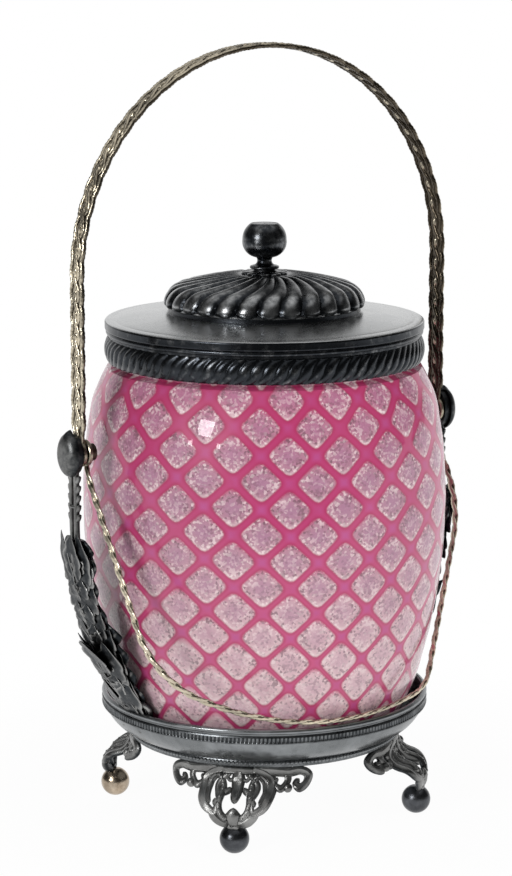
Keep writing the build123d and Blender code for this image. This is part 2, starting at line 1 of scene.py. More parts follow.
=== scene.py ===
"""Dressed model of a footed glass biscuit jar with a domed cover and two swing bails.

Every piece is worked out in millimetres on numpy grids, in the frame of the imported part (+Z up,
hinge line along X, front towards -Y), and is written to its mesh in metres.
"""

import json
import logging
from dataclasses import dataclass, field
from enum import Enum
from math import atan2, cos, degrees, hypot, pi, radians, sin

import bpy
import numpy as np
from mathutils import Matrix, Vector

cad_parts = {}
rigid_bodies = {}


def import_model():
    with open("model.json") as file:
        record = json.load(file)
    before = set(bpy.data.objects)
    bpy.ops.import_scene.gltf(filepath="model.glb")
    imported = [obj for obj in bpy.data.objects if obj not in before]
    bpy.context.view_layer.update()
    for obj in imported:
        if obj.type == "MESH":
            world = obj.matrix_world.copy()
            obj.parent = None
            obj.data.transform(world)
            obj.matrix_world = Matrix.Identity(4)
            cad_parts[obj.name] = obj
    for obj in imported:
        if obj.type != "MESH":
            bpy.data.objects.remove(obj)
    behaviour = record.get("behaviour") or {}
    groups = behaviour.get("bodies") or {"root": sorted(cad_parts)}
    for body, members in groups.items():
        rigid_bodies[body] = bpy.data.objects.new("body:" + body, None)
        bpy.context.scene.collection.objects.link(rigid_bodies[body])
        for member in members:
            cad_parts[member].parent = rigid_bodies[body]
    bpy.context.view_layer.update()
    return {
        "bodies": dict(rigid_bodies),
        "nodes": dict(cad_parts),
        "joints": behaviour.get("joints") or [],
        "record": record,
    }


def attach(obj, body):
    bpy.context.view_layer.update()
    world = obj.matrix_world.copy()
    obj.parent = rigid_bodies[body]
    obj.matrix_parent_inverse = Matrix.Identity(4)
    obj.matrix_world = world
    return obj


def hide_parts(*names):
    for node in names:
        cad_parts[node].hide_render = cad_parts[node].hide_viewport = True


Array = np.ndarray
Socket = bpy.types.NodeSocket
Sockets = bpy.types.bpy_prop_collection
Colour = tuple[float, float, float]
LOG = logging.getLogger("biscuit_jar")
MM = 0.001
NUMBER, VECTOR = "NodeSocketFloat", "NodeSocketVector"
WINDOW_POWER = 5.0


# ---- heights of the jar
@dataclass(frozen=True)
class Levels:
    """Heights and radii that several sub-assemblies share, in millimetres."""

    ball_radius: float = 6.2
    ball_centre: float = 5.8
    leg_bottom: float = 11.5
    leg_top: float = 33.8
    tray_underside: float = 36.8
    tray_floor: float = 38.2
    tray_wall_top: float = 50.4
    tray_wall_radius: float = 69.3
    bead_radius: float = 68.9
    bead_height: float = 52.32
    neck_root: float = 193.4
    collar_bottom: float = 195.8
    collar_radius: float = 65.8
    mouth: float = 206.8
    flange_bottom: float = 207.3
    flange_top: float = 209.5
    cover_top: float = 213.3
    dome_widest: float = 219.4
    dome_top: float = 232.3
    rosette_top: float = 233.4
    knob_bottom: float = 239.2
    knob_top: float = 253.4
    hinge: float = 165.1
    short_bail_x: float = 88.8
    tall_bail_x: float = 91.5
    bracket_x: float = 94.1


LEVELS = Levels()


class Body(Enum):
    """The rigid bodies that a piece can ride on."""

    FRAME = "frame"
    JAR = "jar"
    COVER = "cover"
    TALL_BAIL = "tall_bail"
    SHORT_BAIL = "short_bail"


class Slot(Enum):
    """The material slots of the record."""

    GLASS = "glass"
    PLASTER = "plaster"
    COVER_PLATE = "cover_plate"
    TRAY_PLATE = "tray_plate"
    CASTING = "casting"
    FOOT_BALL = "foot_ball"
    WORN_FOOT_BALL = "worn_foot_ball"
    BAIL_STRAP = "bail_strap"


class Side(Enum):
    """The two ends of the hinge line, as the sign of X."""

    RIGHT = 1
    LEFT = -1


# ---- lines and arcs
def arc_through(start: tuple, middle: tuple, end: tuple, count: int = 16) -> Array:
    """Points along the circle through three points.

    The centre is where the perpendicular bisectors of the two chords meet.

    Args:
        start: First point of the arc.
        middle: A point between the ends.
        end: Last point of the arc.
        count: Number of points.

    Returns:
        Points of shape (count, 2), from start to end.
    """
    a, b, c = (np.asarray(point, float) for point in (start, middle, end))
    chords = np.array([b - a, c - b])
    centre = np.linalg.solve(chords, np.array([chords[0] @ (a + b) / 2, chords[1] @ (b + c) / 2]))
    first, via, last = (np.arctan2(*(point - centre)[::-1]) for point in (a, b, c))
    way = 1.0 if (via - first) % (2 * pi) < (last - first) % (2 * pi) else -1.0
    sweep = way * ((way * (last - first)) % (2 * pi))
    angles = first + np.linspace(0, sweep, count)
    return centre + np.hypot(*(a - centre)) * np.stack([np.cos(angles), np.sin(angles)], axis=1)


def arc_tangent(start: tuple, heading: tuple, end: tuple, count: int = 16) -> Array:
    """Points along the arc that leaves start along heading and reaches end.

    The turn is twice the angle between the heading and the chord.

    Args:
        start: First point of the arc.
        heading: Direction of travel at the start.
        end: Last point of the arc.
        count: Number of points.

    Returns:
        Points of shape (count, 2), from start to end.
    """
    a, b = np.asarray(start, float), np.asarray(end, float)
    way = np.asarray(heading, float) / np.hypot(*heading)
    chord = b - a
    half_turn = atan2(way[0] * chord[1] - way[1] * chord[0], way @ chord)
    if abs(half_turn) < 1e-9:
        return a + np.linspace(0, 1, count)[:, None] * chord
    radius = np.hypot(*chord) / (2 * sin(half_turn))
    centre = a + radius * np.array([-way[1], way[0]])
    angles = np.linspace(0, 2 * half_turn, count)
    arm = a - centre
    turned = np.stack([arm[0] * np.cos(angles) - arm[1] * np.sin(angles),
                       arm[0] * np.sin(angles) + arm[1] * np.cos(angles)], axis=1)
    return centre + turned


def arc_turning(start: Array, heading: tuple, radius: float, turn: float, count: int = 40) -> Array:
    """Points along an arc of a given radius and turn, counter-clockwise.

    Args:
        start: First point.
        heading: Unit direction of travel at the start.
        radius: Radius of the arc.
        turn: Angle turned, in degrees.
        count: Number of points.

    Returns:
        Points of shape (count, 2).
    """
    half = radians(turn) / 2
    chord_angle = atan2(heading[1], heading[0]) + half
    end = start + 2 * radius * sin(half) * np.array([cos(chord_angle), sin(chord_angle)])
    return arc_tangent(start, heading, end, count)


def end_heading(points: Array) -> Array:
    """Unit direction of a point row at its end."""
    step = 1.5 * points[-1] - 2 * points[-2] + 0.5 * points[-3]
    return step / np.hypot(*step)


def joined(*runs: Array) -> Array:
    """One row of points from several runs, without the doubled joints.

    Args:
        *runs: Rows of points, in order.

    Returns:
        The joined row.
    """
    rows = [np.asarray(runs[0], float)]
    for run in runs[1:]:
        run = np.asarray(run, float)
        near = np.hypot(*(run[0] - rows[-1][-1])) < 1e-6
        rows.append(run[1:] if near else run)
    return np.concatenate(rows)


def arc_lengths(points: Array) -> Array:
    """Distance travelled along a row of points at each point."""
    steps = np.linalg.norm(np.diff(points, axis=0), axis=1)
    return np.concatenate([[0.0], np.cumsum(steps)])


def evenly(points: Array, step: float) -> Array:
    """The same line with even spacing.

    Args:
        points: The line.
        step: About how far apart its new points are.

    Returns:
        The new points, with both ends kept.
    """
    lengths = arc_lengths(points)
    count = max(3, int(round(lengths[-1] / step)) + 1)
    stations = np.linspace(0, lengths[-1], count)
    return np.stack([np.interp(stations, lengths, column) for column in points.T], axis=1)


def smooth_line(*points: tuple, step: float = 0.6) -> Array:
    """A smooth line through a few points (Catmull-Rom spans), with even spacing.

    Each span is the cubic whose end slopes are half the difference of the neighbouring points.

    Args:
        *points: The points that the line passes through.
        step: Distance between the returned points.

    Returns:
        Points of shape (n, dimensions).
    """
    knots = np.asarray(points, float)
    padded = np.concatenate([[2 * knots[0] - knots[1]], knots, [2 * knots[-1] - knots[-2]]])
    before, start = padded[:-3, None], padded[1:-2, None]
    end, after = padded[2:-1, None], padded[3:, None]
    t = np.linspace(0, 1, 12, endpoint=False)[None, :, None]
    spans = 0.5 * (2 * start + (end - before) * t + (2 * before - 5 * start + 4 * end - after) * t**2
                   + (3 * start - before - 3 * end + after) * t**3)
    line = np.concatenate([spans.reshape(-1, knots.shape[1]), knots[-1:]])
    return evenly(line, step)


def left_normals(line: Array) -> Array:
    """Unit normals of a flat line.

    Args:
        line: Its points, of shape (n, 2).

    Returns:
        Normals to the left of its direction.
    """
    tangent = np.gradient(line, axis=0)
    tangent /= np.linalg.norm(tangent, axis=1, keepdims=True)
    return np.stack([-tangent[:, 1], tangent[:, 0]], axis=1)


def tapering(line: Array, shares: tuple, values: tuple) -> Array:
    """A value per point of a line, straight between those given at shares of its count."""
    return np.interp(np.linspace(0, 1, len(line)), shares, values)


def full_turn(count: int) -> Array:
    """A row of equally spaced angles round a full turn, of shape (1, count)."""
    return np.linspace(0, 2 * pi, count, endpoint=False)[None]


def circle(count: int) -> tuple[Array, Array, Array]:
    """Equally spaced angles round a full turn with their cosines and sines, as rows."""
    angle = full_turn(count)
    return angle, np.cos(angle), np.sin(angle)


def polar(radius: Array | float, bearing: Array, height: Array | float) -> Array:
    """Points at a radius, bearing and height about Z, broadcast together."""
    return np.stack(np.broadcast_arrays(radius * np.cos(bearing), radius * np.sin(bearing), height), axis=-1)


def lobe_square(phase: Array) -> Array:
    """Square of a semicircle's height over each unit of phase: 0 at whole numbers, 1 halfway."""
    return 1 - (2 * (phase % 1.0) - 1) ** 2


def hump(share: Array, power: float = 1.0) -> Array:
    """A rounded hump: 0 at shares 0 and 1, 1 at a half, as the sine of the share to a power."""
    return np.clip(np.sin(pi * np.clip(share, 0, 1)), 0, 1) ** power


def ramp(value: Array, low: float, high: float) -> Array:
    """Smooth step from 0 at low to 1 at high: 3t^2 - 2t^3 of the clipped share t."""
    share = np.clip((value - low) / (high - low), 0, 1)
    return share * share * (3 - 2 * share)


def spun(angle: float) -> Array:
    """Rotation matrix about Z by an angle in degrees."""
    c, s = cos(radians(angle)), sin(radians(angle))
    return np.array([[c, -s, 0.0], [s, c, 0.0], [0.0, 0.0, 1.0]])


# ---- meshes
@dataclass
class Shell:
    """Gathers closed surfaces, in millimetres, into the mesh of one piece.

    A surface is a grid of rings: its columns run round and close on themselves, and its rows
    either close too, as on a torus, or end in a centre point at each end.
    """

    points: list[Array] = field(default_factory=list)
    relief: list[Array] = field(default_factory=list)
    quads: list[Array] = field(default_factory=list)
    triangles: list[Array] = field(default_factory=list)
    lattice: list[Array] = field(default_factory=list)
    total: int = 0

    def _keep(self, points: Array, relief: Array, quads: Array, triangles: Array,
              lattice: Array | None = None) -> None:
        """Store one closed surface with its faces turned outwards.

        The signed volume is the sum over triangles of a . (b x c) / 6; where it is negative the
        faces are reversed.

        Args:
            points: Its points, of shape (n, 3).
            relief: Height within the ornament, per point.
            quads: Its four-cornered faces.
            triangles: Its three-cornered faces.
            lattice: Pattern coordinates of the corners of the quads.
        """
        fans = np.concatenate([quads[:, [0, 1, 2]], quads[:, [0, 2, 3]], triangles])
        corners = points[fans] - points.mean(axis=0)
        volume = np.einsum("ij,ij->i", corners[:, 0], np.cross(corners[:, 1], corners[:, 2])).sum()
        if volume < 0:
            quads, triangles = quads[:, ::-1], triangles[:, ::-1]
            lattice = None if lattice is None else lattice[:, ::-1]
        self.points.append(points)
        self.relief.append(np.broadcast_to(relief, len(points)).astype(np.float32))
        self.quads.append(quads + self.total)
        self.triangles.append(triangles + self.total)
        self.total += len(points)
        if lattice is not None:
            self.lattice.append(lattice)

    def add(self, grid: Array, relief: Array | float = 0.5, closed_rows: bool = False,
            lattice: Array | None = None) -> "Shell":
        """Add a grid of rings.

        Args:
            grid: Points of shape (rows, columns, 3); each row is a ring.
            relief: Height within the ornament, 0 in a recess to 1 on a high spot, per point.
            closed_rows: Whether the last ring joins the first; if not, both ends are closed.
            lattice: Pattern coordinates of shape (rows, columns + 1, 2), for closed rows only.

        Returns:
            The shell itself.
        """
        rows, columns = grid.shape[:2]
        index = np.arange(rows * columns).reshape(rows, columns)
        below = index if closed_rows else index[:-1]
        above = np.roll(index, -1, axis=0) if closed_rows else index[1:]
        quads = np.stack([below, np.roll(below, -1, axis=1), np.roll(above, -1, axis=1), above], axis=-1)
        points = grid.reshape(-1, 3)
        heights = np.broadcast_to(relief, (rows, columns)).reshape(-1)
        corners = None
        if lattice is not None:
            low, high = lattice, np.roll(lattice, -1, axis=0)
            corners = np.stack([low[:, :-1], low[:, 1:], high[:, 1:], high[:, :-1]], axis=2)
            corners = corners.reshape(-1, 4, 2)
        triangles = np.zeros((0, 3), int)
        if not closed_rows:
            centres = np.stack([grid[0].mean(axis=0), grid[-1].mean(axis=0)])
            points = np.concatenate([points, centres])
            heights = np.concatenate([heights, [heights[0], heights[-1]]])
            first, last = index[0], index[-1]
            bottom = np.stack([np.full(columns, rows * columns), np.roll(first, -1), first], axis=1)
            top = np.stack([np.full(columns, rows * columns + 1), last, np.roll(last, -1)], axis=1)
            triangles = np.concatenate([bottom, top])
        self._keep(points, heights, quads.reshape(-1, 4), triangles, corners)
        return self

    def revolve(self, profile: Array, around: int, relief: Array | float, lift: Array | float = 0.0,
                lattice: Array | None = None) -> "Shell":
        """Add a closed (r, z) outline revolved about Z, with an optional form along its normal.

        Point (i, j) is the outline's point i, moved by lift (i, j) along the outward normal, and
        turned to bearing j of a full turn.

        Args:
            profile: Closed outline of shape (n, 2), the first point not repeated.
            around: Number of columns.
            relief: Height within the ornament, as in add.
            lift: Distance along the outline's outward normal.
            lattice: Pattern coordinates, as in add.

        Returns:
            The shell itself.
        """
        ahead = np.roll(profile, -1, axis=0)
        slope = ahead - np.roll(profile, 1, axis=0)
        slope /= np.maximum(np.linalg.norm(slope, axis=1, keepdims=True), 1e-9)
        area = (profile[:, 0] * ahead[:, 1] - ahead[:, 0] * profile[:, 1]).sum()
        normal = np.stack([slope[:, 1], -slope[:, 0]], axis=1) * np.sign(area)
        radius, level = profile[:, :1] + lift * normal[:, :1], profile[:, 1:] + lift * normal[:, 1:]
        return self.add(polar(radius, full_turn(around), level), relief, closed_rows=True, lattice=lattice)

    def add_copies(self, template: "Shell", places: Array, frames: Array, relief: float) -> "Shell":
        """Add a copy of a small surface at each place.

        Args:
            template: The surface, about the origin.
            places: Origins of shape (n, 3).
            frames: Sizes of shape (n,), or matrices of shape (n, 3, 3) whose columns are the
                copy's axes, scaled or not.
            relief: Height within the ornament of every copy.

        Returns:
            The shell itself.
        """
        if frames.ndim == 1:
            frames = frames[:, None, None] * np.eye(3)
        points = np.concatenate(template.points)
        quads, triangles = np.concatenate(template.quads), np.concatenate(template.triangles)
        if np.linalg.det(frames[0]) < 0:
            quads, triangles = quads[:, ::-1], triangles[:, ::-1]
        moved = np.einsum("nij,kj->nki", frames, points) + places[:, None]
        starts = self.total + len(points) * np.arange(len(places))
        self.points.append(moved.reshape(-1, 3))
        self.relief.append(np.full(len(places) * len(points), relief, np.float32))
        self.quads.append((quads[None] + starts[:, None, None]).reshape(-1, 4))
        self.triangles.append((triangles[None] + starts[:, None, None]).reshape(-1, 3))
        self.total += len(places) * len(points)
        return self

    def turned(self, matrix: Array) -> "Shell":
        """The same shell with every point multiplied by a rotation or mirror matrix.

        Args:
            matrix: The matrix, of shape (3, 3).

        Returns:
            The new shell.
        """
        flip = np.linalg.det(matrix) < 0
        return Shell(
            [points @ matrix.T for points in self.points], list(self.relief),
            [quads[:, ::-1] if flip else quads for quads in self.quads],
            [triangles[:, ::-1] if flip else triangles for triangles in self.triangles],
            list(self.lattice), self.total,
        )

    def piece(self, name: str, finishes: "Finishes", body: Body, slot: Slot, node: str,
              sharp: float = 38.0) -> bpy.types.Object:
        """Write the mesh and hand the piece to the frame.

        Args:
            name: Name of the piece.
            finishes: The finishes of the jar.
            body: The body that it rides on.
            slot: The record's slot for its finish.
            node: The node that it stands for.
            sharp: Edges that turn by more than this, in degrees, stay sharp.

        Returns:
            The new object, at the origin.
        """
        mesh = bpy.data.meshes.new(name)
        faces = np.concatenate(self.quads).tolist() + np.concatenate(self.triangles).tolist()
        mesh.from_pydata((np.concatenate(self.points) * MM).tolist(), [], faces)
        mesh.shade_smooth()
        mesh.set_sharp_from_angle(angle=radians(sharp))
        layer = mesh.attributes.new("relief", "FLOAT", "POINT")
        layer.data.foreach_set("value", np.concatenate(self.relief))
        if self.lattice:
            corners = np.concatenate(self.lattice).reshape(-1, 2)
            rest = len(mesh.loops) - len(corners)
            uv = np.concatenate([corners, np.zeros((rest, 2))]).astype(np.float32)
            mesh.uv_layers.new(name="lattice").data.foreach_set("uv", uv.ravel())
        mesh.materials.append(finishes.of(slot))
        mesh.validate()
        piece = bpy.data.objects.new(name, mesh)
        bpy.context.scene.collection.objects.link(piece)
        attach(piece, body.value)
        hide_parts(node)
        LOG.info("%s: %d faces on %s", name, len(mesh.polygons), body.value)
        return piece


def ball_template(radius: float, rings: int = 4, around: int = 7) -> Shell:
    """A small sphere: latitude rings between two poles.

    Args:
        radius: Its radius.
        rings: Number of rings.
        around: Points round each ring.

    Returns:
        The sphere's shell, about the origin.
    """
    latitude = np.linspace(-pi / 2, pi / 2, rings + 2)[1:-1, None]
    shell = Shell().add(radius * polar(np.cos(latitude), full_turn(around), np.sin(latitude)))
    points = shell.points[0]
    points[-2], points[-1] = (0, 0, -radius), (0, 0, radius)
    return shell


@dataclass(frozen=True)
class Sheet:
    """A bent sheet: at each height a point of its middle line and the outward normal there.

    The flat ornament is drawn in (across, height); across runs along the tangent direction.
    """

    line: Array
    round_axis: bool
    cup: float = 0.0

    def place(self, across: Array, height: Array, proud: Array) -> Array:
        """Carry flat ornament onto the sheet.

        The height picks the middle line's point and normal, the normal carries the proud
        distance, and the depth falls off sideways: as the circle does on a sheet that is bent
        round the jar's axis, and by cup times the square of the distance on any other.

        Args:
            across: Distance sideways.
            height: Height on the sheet.
            proud: Distance outwards from the middle line.

        Returns:
            Points with the outward direction along +X and sideways along +Y.
        """
        order = np.argsort(self.line[:, 1])
        radius, level = self.line[order, 0], self.line[order, 1]
        lean = np.interp(height, level, np.gradient(radius, level))
        size = np.sqrt(1 + lean**2)
        reach = np.interp(height, level, radius) + proud / size
        if self.round_axis:
            depth = np.sqrt(np.maximum(reach**2 - across**2, 1.0))
        else:
            depth = reach - self.cup * across**2
        return np.stack([depth, across, height - proud * lean / size], axis=-1)


@dataclass(frozen=True)
class Leaflet:
    """One leaflet: its root, its lean from upright in degrees, towards +across, and its sizes.

    Length and half width are measured on the sheet; the root stands proud of it and the tip
    curls off it further; lobes counts the scallops of each edge.
    """

    across: float
    height: float
    lean: float
    length: float
    width: float
    curl: float
    proud: float
    lobes: float
    thick: float


@dataclass
class Ornament(Shell):
    """A shell of strokes and leaflets that are drawn flat and carried by a bent sheet."""

    sheet: Sheet | None = None
    end_share: float = 0.02
    groove_width: float = 0.35
    blade_rows: int = 22
    blade_bend: float = 0.35
    scallop: float = 0.34
    sag: float = 0.30
    vein: float = 0.35
    vein_width: float = 0.22

    def stroke(self, line: Array, width: Array | float, thick: float, proud: float = 0.0,
               groove: float = 0.0, around: int = 12) -> None:
        """Add a rounded stroke of ornament along a flat line.

        The section is an ellipse of half axes width and thick, dented by the groove along its
        outer crown; towards both ends the half axes fall off as a circle does, so the ends are
        round.

        Args:
            line: Points (across, height) of the stroke's middle.
            width: Half width along the sheet, one value or one per point.
            thick: Half thickness across the sheet.
            proud: Distance of the middle outwards from the sheet.
            groove: Depth of the groove as a share of the half thickness.
            around: Points round the section.
        """
        lengths = arc_lengths(line)
        half = np.broadcast_to(width, len(line)).astype(float)
        edge = np.minimum(lengths, lengths[-1] - lengths)
        near = 1 - np.clip(edge / np.maximum(half, 0.2), 0, 1)
        taper = np.sqrt(np.clip(1 - near**2, self.end_share, 1))[:, None]
        normal = left_normals(line)
        _, cosine, sine = circle(around)
        side = half[:, None] * taper * cosine
        dent = 1 - groove * np.exp(-((cosine / self.groove_width) ** 2)) * (sine > 0)
        crown = sine * dent
        across, height = line[:, :1] + normal[:, :1] * side, line[:, 1:] + normal[:, 1:] * side
        grid = self.sheet.place(across, height, proud + thick * taper * crown)
        self.add(grid, np.clip(0.5 + 0.5 * crown, 0, 1))

    def blade(self, leaf: Leaflet, side: int = 1) -> None:
        """Add one cupped, veined leaflet that grows from a root on the sheet.

        At share t of its length the half width is width times sin(pi (0.06 + 0.93 t^0.8)),
        scalloped by the lobes; it rises off the sheet by proud + curl t^2 and turns sideways in
        step with t; across it the edges rise as the square of the distance from the vein, and
        the vein itself is a small ridge.

        Args:
            leaf: Its root, lean and sizes.
            side: 1, or -1 for the mirrored place.
        """
        share = np.linspace(0.0, 1.0, self.blade_rows)[:, None]
        _, cosine, sine = circle(18)
        scallop = 1 + self.scallop * np.abs(np.sin(pi * leaf.lobes * share))
        half = leaf.width * np.clip(np.sin(pi * (0.06 + 0.93 * share**0.8)), 0.03, 1) * scallop
        cupped = self.sag * half * cosine ** 2
        vein = self.vein * np.exp(-((cosine / self.vein_width) ** 2)) * hump(share, 0.5)
        skin = sine * leaf.thick / 2 * np.clip(half / leaf.width, 0.2, 1)
        skin = skin + vein * (sine > 0)
        heading = radians(90 - side * leaf.lean)
        bend = heading + self.blade_bend * share * np.sign(cos(heading) + 1e-6)
        step = leaf.length / (self.blade_rows - 1)
        run, rise = np.cos(bend), np.sin(bend)
        across = side * leaf.across + step * (np.cumsum(run, axis=0) - run[0]) - rise * half * cosine
        height = leaf.height + step * (np.cumsum(rise, axis=0) - rise[0]) + run * half * cosine
        relief = 0.25 + 0.75 * cosine ** 4 * (sine > -0.3) + vein
        proud = leaf.proud + leaf.curl * share**2 + cupped + skin
        self.add(self.sheet.place(across, height, proud), np.clip(relief, 0, 1))


# ---- shader node groups
@dataclass
class Nodes:
    """Short calls for building one node tree."""

    tree: bpy.types.NodeTree

    def new(self, kind: str, **settings: object) -> bpy.types.Node:
        """Add a node and set its properties.

        Args:
            kind: Its Blender type.
            **settings: Values by property name.

        Returns:
            The node.
        """
        node = self.tree.nodes.new(kind)
        for name, value in settings.items():
            setattr(node, name, value)
        return node

    def feed(self, socket: Socket, value: object) -> None:
        """Link a socket, or set its value.

        Args:
            socket: The input.
            value: A socket, a number, a vector, or a colour, which gets a full alpha.
        """
        if isinstance(value, Socket):
            self.tree.links.new(value, socket)
        elif socket.type == "RGBA" and len(value) == 3:
            socket.default_value = (*value, 1.0)
        else:
            socket.default_value = value

    def fill(self, node: bpy.types.Node, **values: object) -> bpy.types.Node:
        """Feed a node's inputs by name.

        Args:
            node: The node.
            **values: Values by input name, with underscores for spaces.

        Returns:
            The node.
        """
        for name, value in values.items():
            self.feed(node.inputs[name.replace("_", " ")], value)
        return node

    def row(self, node: bpy.types.Node, *values: object) -> bpy.types.Node:
        """Feed a node's first inputs in order.

        Args:
            node: The node.
            *values: One value per input.

        Returns:
            The node.
        """
        for socket, value in zip(node.inputs, values):
            self.feed(socket, value)
        return node

    def math(self, operation: str, *values: object, clamp: bool = False) -> Socket:
        """A Math node on sockets or numbers."""
        node = self.new("ShaderNodeMath", operation=operation, use_clamp=clamp)
        return self.row(node, *values).outputs[0]

    def times(self, first: object, second: object) -> Socket:
        """The product of two values."""
        return self.math("MULTIPLY", first, second)

    def less(self, first: object, second: object) -> Socket:
        """The first value less the second."""
        return self.math("SUBTRACT", first, second)

    def larger(self, first: object, second: object) -> Socket:
        """The larger of two values."""
        return self.math("MAXIMUM", first, second)

    def step(self, value: object, low: object, high: object, first: float = 0.0,
             last: float = 1.0) -> Socket:
        """A smooth step of a value from one level to another."""
        node = self.new("ShaderNodeMapRange", interpolation_type="SMOOTHSTEP")
        return self.fill(node, Value=value, From_Min=low, From_Max=high, To_Min=first, To_Max=last).outputs[0]

    def mix(self, factor: object, first: object, second: object) -> Socket:
        """A colour mix.

        Args:
            factor: Share of the second colour.
            first: The first colour.
            second: The second colour.

        Returns:
            The mixed colour.
        """
        node = self.new("ShaderNodeMix", data_type="RGBA")
        for index, value in ((0, factor), (6, first), (7, second)):
            self.feed(node.inputs[index], value)
        return node.outputs[2]

    def noise(self, position: object, scale: float, detail: float = 3.0, rough: float = 0.55) -> Socket:
        """Noise texture at a position."""
        node = self.new("ShaderNodeTexNoise")
        return self.fill(node, Vector=position, Scale=scale, Detail=detail, Roughness=rough).outputs[0]

    def place(self) -> Socket:
        """Object coordinates."""
        return self.new("ShaderNodeTexCoord").outputs["Object"]

    def parts(self, vector: Socket) -> Sockets:
        """The three numbers of a vector, as sockets."""
        return self.fill(self.new("ShaderNodeSeparateXYZ"), Vector=vector).outputs

    def scaled(self, vector: object, factor: Socket) -> Socket:
        """A vector or colour times a number."""
        node = self.row(self.new("ShaderNodeVectorMath", operation="SCALE"), vector)
        return self.fill(node, Scale=factor).outputs[0]

    def dot(self, vector: Socket, direction: Array) -> Socket:
        """How far a vector reaches along a unit direction."""
        node = self.new("ShaderNodeVectorMath", operation="DOT_PRODUCT")
        return self.row(node, vector, tuple(direction)).outputs["Value"]

    def bump(self, height: Socket, strength: float, distance: float) -> Socket:
        """A Bump node's normal; the distance is in metres."""
        node = self.new("ShaderNodeBump")
        return self.fill(node, Height=height, Strength=strength, Distance=distance).outputs[0]

    def blend(self, share: Socket, first: Socket, second: Socket) -> Socket:
        """A mix of two shaders."""
        return self.row(self.new("ShaderNodeMixShader"), share, first, second).outputs[0]

    def group(self, tree: bpy.types.NodeTree, **values: object) -> Sockets:
        """Place a node group, feed its inputs and return its outputs."""
        return self.fill(self.new("ShaderNodeGroup", node_tree=tree), **values).outputs


def new_group(name: str, inputs: dict[str, tuple], outputs: tuple[str, ...]) -> tuple:
    """Start a shader node group.

    Args:
        name: Name of the group.
        inputs: Socket kind and default value by input name.
        outputs: Names of the outputs, all plain numbers.

    Returns:
        The node helper, the sockets of the group's inputs and its output node.
    """
    tree = bpy.data.node_groups.new(name, "ShaderNodeTree")
    for key, (kind, default) in inputs.items():
        socket = tree.interface.new_socket(key, in_out="INPUT", socket_type=kind)
        if default is not None:
            socket.default_value = default
    for key in outputs:
        tree.interface.new_socket(key, in_out="OUTPUT", socket_type=NUMBER)
    nodes = Nodes(tree)
    return nodes, nodes.new("NodeGroupInput").outputs, nodes.new("NodeGroupOutput")


def tarnish_group() -> bpy.types.NodeTree:
    """Tarnish that gathers in recesses and rubs off high spots.

    Bright share = smooth step of (relief + patchy noise) about one less Rub; clouds and a fine
    grain vary the roughness, and the patches and the grain give the height.

    Returns:
        A group with inputs Position, Relief and Rub and outputs Bright, Cloud, Rough and Height.
    """
    nodes, given, out = new_group(
        "tarnish", {"Position": (VECTOR, None), "Relief": (NUMBER, 0.5), "Rub": (NUMBER, 0.5)},
        ("Bright", "Cloud", "Rough", "Height"),
    )
    place, soft = given["Position"], 0.28
    cloud, patches = nodes.noise(place, 60.0, 4.0, 0.6), nodes.noise(place, 260.0, 3.0, 0.65)
    fine = nodes.noise(place, 1500.0, 2.0, 0.6)
    lift = nodes.math("ADD", given["Relief"], nodes.times(nodes.less(patches, 0.5), 0.7))
    threshold = nodes.less(1.0, given["Rub"])
    bright = nodes.step(lift, nodes.less(threshold, soft), nodes.math("ADD", threshold, soft))
    rough = nodes.math("ADD", nodes.times(cloud, 0.6), nodes.times(fine, 0.4))
    height = nodes.math("ADD", nodes.times(patches, 0.7), fine)
    nodes.fill(out, Bright=bright, Cloud=cloud, Rough=rough, Height=height)
    return nodes.tree


def window_group() -> bpy.types.NodeTree:
    """The lattice of windows in the glass.

    With p and q the lattice coordinates, folded to -1..1 across each cell, the distance from a
    window's centre is the fifth root of |p|^5 + |q|^5 over Size. Window is 1 inside it, Rim is
    its inner edge, Border the outer one, Cross the crossings of the bands, Centre falls from
    its middle, and Low is 1 at the window's lower tip and -1 at its upper tip.

    Returns:
        A group with inputs Lattice and Size and outputs Window, Rim, Border, Cross, Low and Centre.
    """
    nodes, given, out = new_group(
        "lattice_windows", {"Lattice": (VECTOR, None), "Size": (NUMBER, 0.78)},
        ("Window", "Rim", "Border", "Cross", "Low", "Centre"),
    )
    cells = [nodes.math("FRACT", part) for part in nodes.parts(given["Lattice"])[:2]]
    folded = [nodes.less(nodes.times(cell, 2.0), 1.0) for cell in cells]
    sizes = [nodes.math("ABSOLUTE", part) for part in folded]
    powers = [nodes.math("POWER", size, WINDOW_POWER) for size in sizes]
    reach = nodes.math("POWER", nodes.math("ADD", *powers), 1 / WINDOW_POWER)
    inner = nodes.math("DIVIDE", reach, given["Size"])
    nodes.fill(
        out, Window=nodes.step(inner, 1.07, 0.90), Border=nodes.step(inner, 1.22, 1.02),
        Rim=nodes.times(nodes.step(inner, 0.70, 0.92), nodes.step(inner, 1.04, 0.97)),
        Cross=nodes.step(nodes.times(*sizes), 0.52, 0.95), Centre=nodes.step(inner, 0.95, 0.15),
        Low=nodes.times(nodes.less(folded[1], folded[0]), 0.5),
    )
    return nodes.tree


